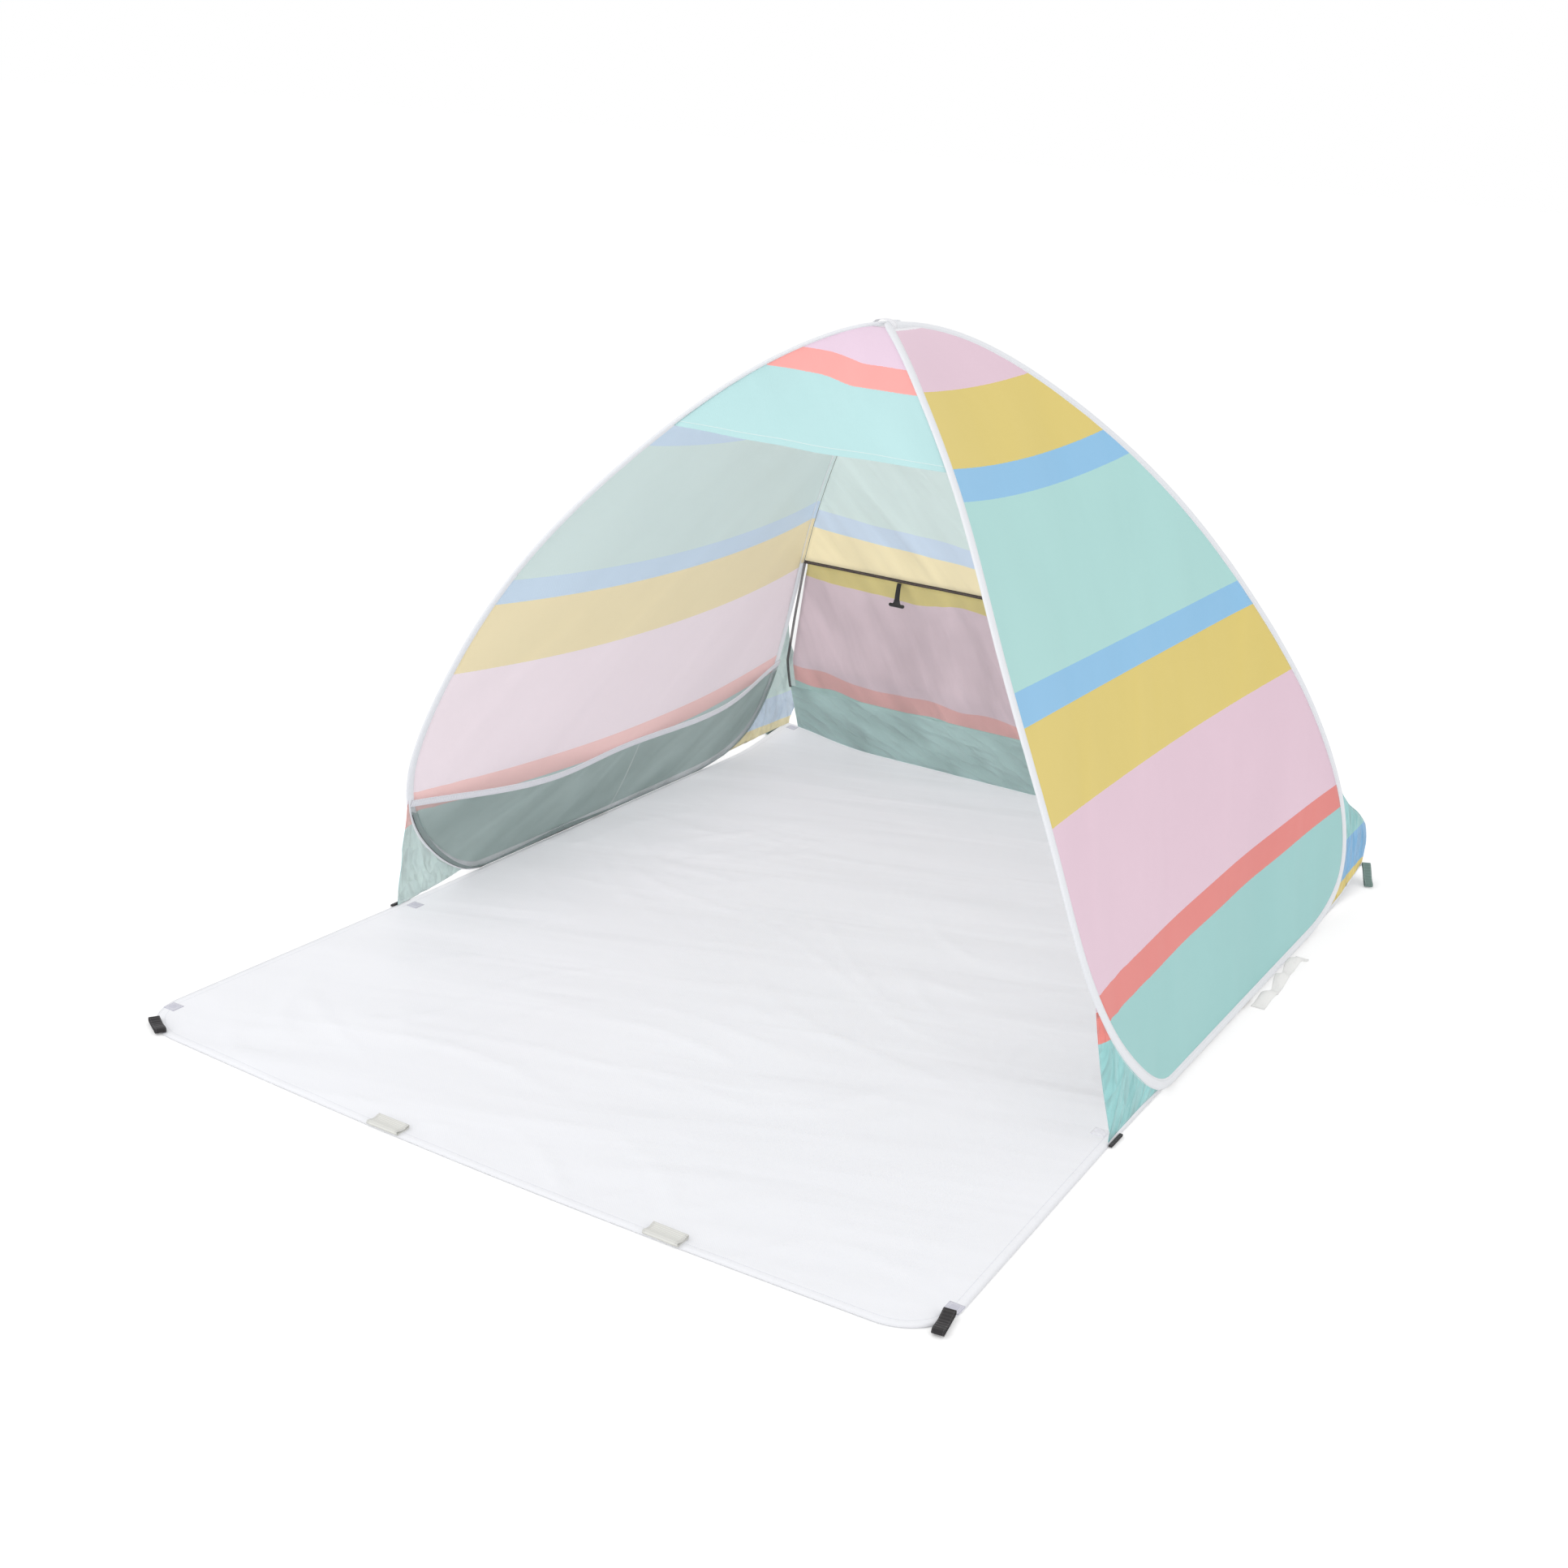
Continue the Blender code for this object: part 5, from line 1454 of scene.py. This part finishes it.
def makeFloor():
    outline = floorOutline()
    count = len(outline)
    rings = hemRings(outline)
    verts = [p for ring in rings for p in ring]
    faces = bandFaces(len(rings), count)
    inner = rings[-1]
    interior = innerPoints(inner, min(p.y for p in outline), max(p.y for p in outline))
    loop = list(range(count))
    if turnSign(inner) < 0:
        loop.reverse()
    flat, _, tris, _, _, _ = geometry.delaunay_2d_cdt(inner + interior, [], [loop], 1, 1e-6)
    base = (len(rings) - 1) * count
    mapping = {}
    grid = {(round(p.x, 5), round(p.y, 5)): i for i, p in enumerate(inner)}
    for i, p in enumerate(flat):
        key = (round(p.x, 5), round(p.y, 5))
        if key in grid:
            mapping[i] = base + grid[key]
        else:
            mapping[i] = len(verts)
            verts.append(p)
    faces += [tuple(mapping[i] for i in tri) for tri in tris]
    runs = [0.0]
    for a, b in zip(outline, outline[1:]):
        runs.append(runs[-1] + (b - a).length)
    closeness = edgeFinder(outline)
    points, edges = [], []
    for i, p in enumerate(verts):
        if i < len(rings) * count:
            way, along = hemInsets[i // count], runs[i % count]
        else:
            way, along = closeness(p), 0.0
        rise = floorPlan["hemRise"] * (1 if way < floorPlan["hem"] * 1.01 else 0)
        z = floorPlan["rest"] + rise * smooth(-0.001, 0.002, way) + floorHeight(p.x, p.y, way)
        points.append(Vector((p.x, p.y, z + cornerLift(p.x, p.y))))
        edges.append((way, along))
    prints = [(p.x, p.y) for p in verts]
    obj = meshFrom("floorSheet", points, faces, {"print": prints, "edge": edges}, (0, 0, 1))
    thicken(obj, floorPlan["thickness"], floorTop, floorUnder)
    acrossFold(obj)
    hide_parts("floor_sheet")


def turnSign(loop):
    return 1 if sum(a.x * b.y - b.x * a.y for a, b in closed(loop)) > 0 else -1


def crossingsAt(loop, y):
    return sorted(a.x + (b.x - a.x) * (y - a.y) / (b.y - a.y)
                  for a, b in closed(loop) if (a.y <= y) != (b.y <= y))


def nearRing(ring, reach):
    # a test of whether a place is close to the ring, with the ring's points sorted into cells
    cells = {}
    for p in ring:
        cells.setdefault((int(p.x // reach), int(p.y // reach)), []).append(p)

    def check(p):
        cx, cy = int(p.x // reach), int(p.y // reach)
        around = [(cx + i, cy + j) for i in (-1, 0, 1) for j in (-1, 0, 1)]
        return any((p - q).length < reach for cell in around for q in cells.get(cell, ()))

    return check


def edgeFinder(loop):
    # a measure of the way to the edge, from every third point of it
    spots = loop[::3]

    def measure(p):
        return max(min((p - spot).length for spot in spots), floorPlan["hem"] * 1.5)

    return measure


# things rest on the sheet here: (place, how far around)
quietPlaces = [
    ((-0.7277, -1.3356), 0.03), ((0.7477, -1.3263), 0.03), ((-0.184, -1.42), 0.04), ((0.332, -1.42), 0.04),
    *(((x, y), 0.03) for x in (-0.722, 0.722) for y in (-0.731, 0.731)),
    ((-0.70, -1.405), 0.03), ((0.753, -1.37), 0.035),
]
# the floor's top paints faint light and shade on its soft folds
floorTop = clothMaterial("floor top", (238, 239, 243), creases=2.2, sharp=0.12, creaseSize=7.0,
                         stitches=(0.015,), thread=(214, 216, 224), wear=0.035, rough=0.5, passed=False,
                         stretch=(0.35, 0.20), paintedFoldShade=0.014)
floorUnder = clothMaterial("floor underside", (222, 224, 230), creases=1.0, passed=False)
makeFloor()
print("floor made")

# small pieces of the floor
ribbon = {"columns": 8}


def ribbonMesh(name, path, width, across, thickness, material):
    # a band that follows the path, as wide as width along the across way
    cloth = Rows()
    run = 0.0
    for i, point in enumerate(path):
        if i:
            run += (point - path[i - 1]).length
        cloth.start()
        for j in range(ribbon["columns"] + 1):
            share = j / ribbon["columns"] - 0.5
            cloth.add(point + across * (width * share), (run, share * width),
                      ((0.5 - abs(share)) * width, run))
    obj = cloth.mesh(name)
    thicken(obj, thickness, material)
    return obj


loopSize = {
    "height": 0.0092, "width": 0.018, "wall": 0.0014, "seat": 0.0015, "length": 0.060, "leftLength": 0.054,
    "rearLength": 0.048, "frontLength": 0.050, "frontWidth": 0.0055, "frontHeight": 0.0042,
    "tabLength": 0.032, "tabWidth": 0.060, "tabHeight": 0.0080, "roundSteps": 14, "cell": 0.003,
    "rightHeading": -81, "rightInset": 0.0115, "rightRise": 0.080, "leftHeading": -30, "leftTurn": 60,
    "frontBack": 0.020, "rearTurn": -60, "rearBack": 0.012, "tabBack": 0.002,
}
tabPlaces = {"left": -0.184, "right": 0.332}


def loopPath(start, along, length, height, squeeze):
    # the middle line of a folded band that lies on its long face
    radius = (height - loopSize["wall"]) / 2
    run = (length - height) / 2
    centre = start + along * (length / 2) + Vector((0, 0, height / 2))
    path = []
    steps = loopSize["roundSteps"]
    for middle, begin in ((run, -math.pi / 2), (-run, math.pi / 2)):
        for i in range(steps + 1):
            angle = begin + math.pi * i / steps
            path.append((middle + radius * math.cos(angle), radius * math.sin(angle)))
    points = []
    for (ax, az), (bx, bz) in closed(path):
        steps = max(1, int(math.hypot(bx - ax, bz - az) / loopSize["cell"]))
        for i in range(steps):
            x, z = mix(ax, bx, i / steps), mix(az, bz, i / steps)
            sink = squeeze * math.cos(math.pi * x / length) ** 2 if z > 0 else 0.0
            points.append(centre + along * x + Vector((0, 0, z - sink * height * 0.4)))
    return points + [points[0]]


def makeLoop(name, node, body, start, heading, size, material, squeeze=0.0):
    length, height, width = size
    along = Vector((math.cos(heading), math.sin(heading), 0))
    lifted = cornerLift(start.x, start.y)
    path = [p + Vector((0, 0, lifted * (1 - smooth(0, length, (p - start).dot(along)))))
            for p in loopPath(start, along, length, height, squeeze)]
    obj = ribbonMesh(name, path, width, along.cross(Vector((0, 0, 1))), loopSize["wall"], material)
    if body:
        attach(obj, body)
    if node:
        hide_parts(node)
    weld(obj, 0.00001)
    return obj


patch = {"half": 0.012, "steps": 10, "height": 0.0019, "rumple": 0.0004, "thickness": 0.0008, "inset": 0.024,
         "rightApron": (0.7477, -1.3263), "leftApron": (-0.7410, -1.3356)}


def makePatch(side, label, x, y):
    cloth = Rows()
    half, steps = patch["half"], patch["steps"]
    for i in range(steps + 1):
        cloth.start()
        for j in range(steps + 1):
            u, v = (2 * j / steps - 1) * half, (2 * i / steps - 1) * half
            way = min(half - abs(u), half - abs(v))
            lift = patch["rumple"] * smooth(0, 0.004, way) * (1 + ripple(u * 20, v * 20, 91, 0.3))
            lift += patch["height"] + cornerLift(x + u, y + v)
            cloth.add(Vector((x + u, y + v, lift)), (u, v), (way, u + v))
    obj = cloth.mesh(side + label.capitalize() + "Patch", (0, 0, 1))
    white = (side, label) == ("right", "front")
    thicken(obj, patch["thickness"], whitePatchMaterial if white else patchMaterial)
    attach(obj, side + "_side")
    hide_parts(side + "_" + label + "_patch")


def makeApronLoop(side, sign):
    makePatch(side, "apron", *patch[side + "Apron"])
    heading = math.radians(loopSize[side + "Heading"])
    if side == "right":
        length = loopSize["length"]
        x = floorHalf + floorPlan["flare"] - loopSize["rightInset"]
        start = Vector((x, floorFront - tent["apronLength"] + loopSize["rightRise"], loopSize["seat"]))
    else:
        length = loopSize["leftLength"]
        away = Vector((math.cos(heading), math.sin(heading), 0)) * (length / 2)
        x, y = apronCorner(side, sign, math.radians(loopSize["leftTurn"]))
        start = Vector((x, y, loopSize["seat"])) - away
    makeLoop(side + "ApronLoop", side + "_apron_loop", side + "_side", start, heading,
             (length, loopSize["height"], loopSize["width"]), blackWebbing, squeeze=0.9)


def makeFrontLoop(side, sign):
    straight = apronCorner(side, sign, 0)[1] - floorFront
    flare = floorPlan["flare"] * loopSize["frontBack"] / abs(straight)
    x = sign * (floorHalf + tent["gap"] + loopSize["frontWidth"] / 2 + flare)
    start = Vector((x, floorFront + loopSize["length"] - loopSize["frontBack"], 0))
    makeLoop(side + "FrontLoop", side + "_front_loop", side + "_side", start, -math.pi / 2,
             (loopSize["frontLength"], loopSize["frontHeight"], loopSize["frontWidth"]), blackWebbing)


def makeRearLoop(side, sign):
    radius = loopSize["height"] / 2
    recess = radius - math.sqrt(radius**2 - (radius - tent["cloth"]) ** 2)
    turn = math.radians(loopSize["rearTurn"])
    offset = loopSize["width"] / 2 * abs(math.sin(turn)) - recess * math.cos(turn)
    start = Vector((sign * (floorHalf + tent["gap"] + offset), floorRear - loopSize["rearBack"], 0))
    heading = turn if sign > 0 else math.pi - turn
    makeLoop(side + "RearLoop", side + "_rear_loop", side + "_side", start, heading,
             (loopSize["rearLength"], loopSize["height"], loopSize["width"]), greenWebbing, squeeze=0.5)


def makeCorners(side, sign):
    makeApronLoop(side, sign)
    makeFrontLoop(side, sign)
    makeRearLoop(side, sign)
    x = sign * (floorHalf - gusset["cornerInset"] - patch["inset"])
    for label, y in (("front", floorFront + patch["inset"]), ("rear", floorRear - patch["inset"])):
        makePatch(side, label, x, y)


def makeTabs():
    for label, x in tabPlaces.items():
        start = Vector((x, apronEdge(x) + loopSize["tabLength"] - loopSize["tabBack"], loopSize["seat"]))
        tab = makeLoop(label + "EdgeTab", label + "_edge_tab", None, start, -math.pi / 2,
                       (loopSize["tabLength"], loopSize["tabHeight"], loopSize["tabWidth"]), tabMaterial,
                       squeeze=1.0)
        acrossFold(tab)


strap = {"width": 0.026, "thickness": 0.0026, "start": -0.085, "run": 0.290, "lift": 0.011, "sway": 0.0045,
         "lobes": 3, "narrow": 0.45, "wrinkle": 0.0012, "tuck": 0.0006, "rows": 120, "columns": 10}


def makeStrap():
    inner = footX + tubeGap + strap["sway"] - strap["tuck"]
    cloth = Rows()
    for i in range(strap["rows"] + 1):
        share = i / strap["rows"]
        wave = math.sin(math.pi * strap["lobes"] * share)
        z = strap["thickness"] / 2 + tent["gap"] + strap["lift"] * wave**2
        narrow = 1 - strap["narrow"] * (1 - abs(wave)) * math.sin(math.pi * share)
        left = inner + strap["sway"] * math.sin(2 * math.pi * share) + (1 - narrow) / 2 * strap["width"]
        y = strap["start"] + strap["run"] * share
        cloth.start()
        for j in range(strap["columns"] + 1):
            across = j / strap["columns"]
            fold = strap["wrinkle"] * ripple(y, across * 0.03, 95, 0.03)
            fold += strap["sway"] * math.sin(math.pi * across)
            cloth.add(Vector((left + strap["width"] * narrow * across, y, z + wave**2 * fold)),
                      (y, across * strap["width"]))
    obj = cloth.mesh("tieStrap", (0, 0, 1), edgeDistances(cloth.points))
    thicken(obj, strap["thickness"], cottonMaterial)
    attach(obj, "right_side")
    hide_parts("tie_strap")
    declareSheet(obj, cloth.points)


patchSewing = {"stitches": (0.002, 0.0045), "creases": 0.5}
patchMaterial = clothMaterial("grey patch", (196, 196, 208), thread=(226, 226, 232), **patchSewing)
whitePatchMaterial = clothMaterial("white patch", (232, 232, 238), thread=(240, 240, 244), **patchSewing)
greenWebbing = tapeMaterial("grey green webbing", (112, 136, 130), stitches=(0.002,), thread=(150, 168, 162))
tabMaterial = tapeMaterial("cream tab", (224, 224, 219), ribs=1800.0, depth=0.00012, rough=0.65,
                           stitches=(0.003,), thread=(205, 205, 202))
cottonMaterial = clothMaterial("white cotton", (240, 240, 238), creases=1.0, creaseSize=40.0, weave=2.0,
                               rough=0.8, stitches=(0.002,))
for sideName, sideSign in sides:
    makeCorners(sideName, sideSign)
makeTabs()
makeStrap()
print("patches, loops, tabs and strap made")

# crown binding, toggles, steel
crown = {"length": 0.018, "halfWidth": 0.0201, "halfHeight": 0.0100, "drop": 0.0004, "steps": 72,
         "columns": 8, "pinch": 0.035, "pucker": 0.012, "meanRadius": 0.021, "thickness": 0.0009}


def makeCrown():
    centre = Vector((0, frontLine[0][0], tent["sleeveRadius"] + tent["hoopHeight"] - crown["drop"]))
    cloth = Rows()
    for i in range(crown["steps"] + 1):
        angle = 2 * math.pi * i / crown["steps"]
        c, d = math.cos(angle), math.sin(angle)
        ring = Vector((crown["halfWidth"] * c, 0, crown["halfHeight"] * d))
        run = angle * crown["meanRadius"]
        cloth.start()
        for j in range(crown["columns"] + 1):
            share = j / crown["columns"]
            pinch = 1 - crown["pinch"] * math.sin(math.pi * share) * (1 + math.cos(2 * angle)) / 2
            pucker = 1 + crown["pucker"] * noise.noise(Vector((c * 3, d * 3, share * 3)))
            point = centre + ring * (pinch * pucker) + Vector((0, crown["length"] * (share - 0.5), 0))
            cloth.add(point, (run, share * crown["length"]), (min(share, 1 - share) * crown["length"], run))
    obj = cloth.mesh("crownBinding")
    weld(obj, 0.00001)
    thicken(obj, crown["thickness"], sleeveTape)
    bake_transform(obj)
    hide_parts("crown_binding")


toggle = {"x": 0.330, "top": (0.4759, 0.51807), "length": 0.039, "radius": 0.0043, "barSteps": 24,
          "barDip": 0.0008, "strap": 0.046, "strapWidth": 0.0125, "strapThickness": 0.0018, "strapSteps": 18,
          "strapColumns": 8, "strapRise": 0.0032, "strapSlack": 0.0048, "strapBow": 0.0016,
          "strapCup": 0.0006, "lean": 0.0022, "drop": 0.0035, "socket": 0.011, "socketDepth": 0.0016,
          "socketBack": 0.0002,
          "foldShift": (-0.741, 0.0, 0.047), "foldKeep": 0.93}
# half the bar: (share of its length, share of its radius)
barHalf = [
    (0.0, 0.88), (0.25, 0.88), (0.5, 0.94), (0.74, 1.0),
    (0.86, 0.96), (0.94, 0.80), (0.985, 0.55), (1.0, 0.30),
]
# the neck from its top down: (share of its height, how wide, how deep)
neckSections = [(0.0, 0.62, 1.0), (0.12, 0.64, 1.1), (0.45, 0.68, 1.25), (0.75, 0.86, 1.5), (1.0, 1.25, 1.7)]


def capsuleRing(halfWide, halfThick):
    # a flat rounded section
    ring = []
    steps = 28
    for i in range(steps):
        angle = 2 * math.pi * i / steps
        c, d = math.cos(angle), math.sin(angle)
        ring.append((halfWide * math.copysign(abs(c) ** 0.55, c),
                     halfThick * math.copysign(abs(d) ** 0.8, d)))
    return ring


def loftMesh(name, sections):
    # joins rings of equal length, each a list of points, into one closed skin
    count = len(sections[0])
    verts = [p for ring in sections for p in ring]
    faces = bandFaces(len(sections), count)
    faces.append(tuple(range(count)))
    faces.append(tuple(range(len(verts) - 1, len(verts) - count - 1, -1)))
    middles = [sum(ring, Vector()) / count for ring in sections]
    prints = []
    run = 0.0
    for r, ring in enumerate(sections):
        if r:
            run += (middles[r] - middles[r - 1]).length
        prints += [(run, (p - middles[r]).x) for p in ring]
    return meshFrom(name, verts, faces, {"print": prints})


def followFold(obj, side):
    # gives each right toggle piece a mesh of its own; the left ones keep theirs
    if side == "left":
        return
    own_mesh(obj)


def makeToggleStrap(side, sign, body):
    x, (y, z) = sign * toggle["x"], toggle["top"]
    cloth = Rows()
    for i in range(toggle["strapSteps"] + 1):
        share = i / toggle["strapSteps"]
        drop = toggle["strap"] * 0.90 * share
        half = toggle["strapWidth"] / 2 * (0.80 + 0.20 * share)
        bow = toggle["strapBow"] * math.sin(math.pi * share)
        height = z + toggle["strapRise"] - drop - toggle["strapSlack"] * share
        cloth.start()
        for j in range(toggle["strapColumns"] + 1):
            across = 2 * j / toggle["strapColumns"] - 1
            place = (x + toggle["lean"] * share * sign + half * across,
                     y - bow - toggle["strapCup"] * (1 - across**2), height)
            cloth.add(Vector(place), (drop, half * across), (half * (1 - abs(across)), drop))
    band = cloth.mesh(side + "ToggleStrap", (0, -1, 0))
    thicken(band, toggle["strapThickness"], cordMaterial)
    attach(band, body)
    followFold(band, side)
    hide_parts(side + "_toggle_cord")
    declareSheet(band, cloth.points, ["windowSeamTape"])


def makeToggleBar(side, foot, body):
    radius, half, steps = toggle["radius"], toggle["length"] / 2, toggle["barSteps"]
    angles = [2 * math.pi * i / steps for i in range(steps)]
    sections = []
    for place, share in [(-place, share) for place, share in barHalf[:0:-1]] + barHalf:
        dip = -toggle["barDip"] * (1 - place**2)
        sections.append([
            foot + Vector((half * place, radius * share * math.cos(a), radius * share * math.sin(a) + dip))
            for a in angles])
    bar = loftMesh(side + "ToggleBar", sections)
    bar.data.materials.append(toggleMaterial)
    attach(bar, body)
    followFold(bar, side)
    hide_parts(side + "_toggle")


def makeToggleNeck(side, foot, body):
    sections = []
    for share, widen, deepen in neckSections:
        level = foot.z + toggle["socket"] * (1 - share) + toggle["radius"] * 0.3
        ring = capsuleRing(toggle["strapWidth"] * widen * 0.95, toggle["socketDepth"] * deepen)
        sections.append([Vector((foot.x + u, foot.y - toggle["socketBack"] + v, level)) for u, v in ring])
    socket = loftMesh(side + "ToggleNeck", sections)
    socket.data.materials.append(toggleMaterial)
    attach(socket, body)
    followFold(socket, side)


def makeToggle(side, sign):
    y, z = toggle["top"]
    foot = Vector((sign * (toggle["x"] + toggle["lean"]), y, z - toggle["strap"] - toggle["drop"]))
    body = "toggle_" + side
    makeToggleStrap(side, sign, body)
    makeToggleBar(side, foot, body)
    makeToggleNeck(side, foot, body)


def plasticMaterial(name, base):
    material, tree, shader = newMaterial(name)
    place = uvNode(tree, "print")
    grain = noiseNode(tree, place, 700.0, 3.0, 0.6)
    scuff = noiseNode(tree, place, 120.0, 2.0, 0.5)
    surface = mixColour(tree, scuff * 0.4, colour(base), colour([v + 26 for v in base]))
    fill(tree, shader, {"Base Color": surface, "Roughness": scuff.scaled(0.3, 0.3),
                        "Normal": bumpNode(tree, grain, 0.00006)})
    return material


def metalMaterial(name, base, rough):
    material, tree, shader = newMaterial(name)
    place = Flow(tree, addNode(tree, "TexCoord").outputs["Object"])
    drawn = noiseNode(tree, place, 320.0, 3.0, 0.6)
    fill(tree, shader, {"Base Color": mixColour(tree, drawn, colour(base), colour(base, 0.82)),
                        "Roughness": drawn.scaled(0.25, rough - 0.1), "Metallic": 1.0})
    return material


sleeveTape = clothMaterial("crown tape", (238, 238, 242), stitches=(0.003,), thread=(200, 200, 206),
                           creases=0.6, creaseSize=50.0)
toggleMaterial = plasticMaterial("toggle plastic", (30, 30, 32))
cordMaterial = tapeMaterial("toggle cord", (40, 38, 40), ribs=2600.0, depth=0.0002)
makeCrown()
for sideName, sideSign in sides:
    makeToggle(sideName, sideSign)
steelMaterial = metalMaterial("spring steel", (164, 166, 170), 0.36)
brassMaterial = metalMaterial("crimped brass", (196, 170, 104), 0.42)
for nodeName, nodeMaterial in (("hoop_wire", steelMaterial), ("wire_ferrule", brassMaterial)):
    for sideName, _ in sides:
        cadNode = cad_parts[sideName + "_" + nodeName]
        if not hasattr(cadNode, "material_slots"):
            cadNode = bpy.data.objects[sideName + "_" + nodeName]
        for materialSlot in cadNode.material_slots:
            materialSlot.material = nodeMaterial
print("crown, toggles and steel made")

# stage and light
light = {"world": 0.90, "key": 34.0, "fill": 20.0, "front": 26.0, "floorGlow": 0.17}
studio = {"half": 60, "height": -0.0012, "floor": 0.93}


def makeStage():
    half, z, grey = studio["half"], studio["height"], studio["floor"]
    mesh = bpy.data.meshes.new("studioFloor")
    corners = [(-half, -half, z), (half, -half, z), (half, half, z), (-half, half, z)]
    mesh.from_pydata(corners, [], [(0, 1, 2, 3)])
    floor = bpy.data.objects.new("studioFloor", mesh)
    bpy.context.scene.collection.objects.link(floor)
    material, tree, shader = newMaterial("studio floor")
    glow = rayNode(tree, "Camera") * light["floorGlow"]
    fill(tree, shader, {"Base Color": (grey, grey, grey, 1), "Roughness": 0.9, "Specular IOR Level": 0.0,
                        "Emission Color": (1, 1, 1, 1), "Emission Strength": glow})
    mesh.materials.append(material)
    world = bpy.data.worlds.new("studio")
    bpy.context.scene.world = world
    world.use_nodes = True
    sky = world.node_tree
    clear = rayNode(sky, "Glossy").apply("MAXIMUM", rayNode(sky, "Transmission"))
    seen = rayNode(sky, "Camera").apply("MAXIMUM", clear)
    strength = seen.scaled(1 - light["world"], light["world"])
    fill(sky, sky.nodes["Background"], {"Color": (1, 1, 1, 1), "Strength": strength})


def makeLamp(name, place, target, size, power):
    data = bpy.data.lights.new(name, "AREA")
    data.shape = "SQUARE"
    data.size = size
    data.energy = power
    lamp = bpy.data.objects.new(name, data)
    bpy.context.scene.collection.objects.link(lamp)
    lamp.location = place
    lamp.rotation_mode = "QUATERNION"
    lamp.rotation_quaternion = (Vector(target) - Vector(place)).to_track_quat("-Z", "Y")


makeStage()
makeLamp("keyLamp", (-3.4, -3.0, 4.6), (0, -0.3, 0.4), 3.5, light["key"])
makeLamp("frontLamp", (-0.6, -4.6, 2.0), (-0.1, 0.2, 0.3), 2.6, light["front"])
makeLamp("fillLamp", (4.6, -1.6, 2.4), (0, 0, 0.5), 3.0, light["fill"])
bpy.context.scene.view_settings.view_transform = "Standard"
print("stage set")
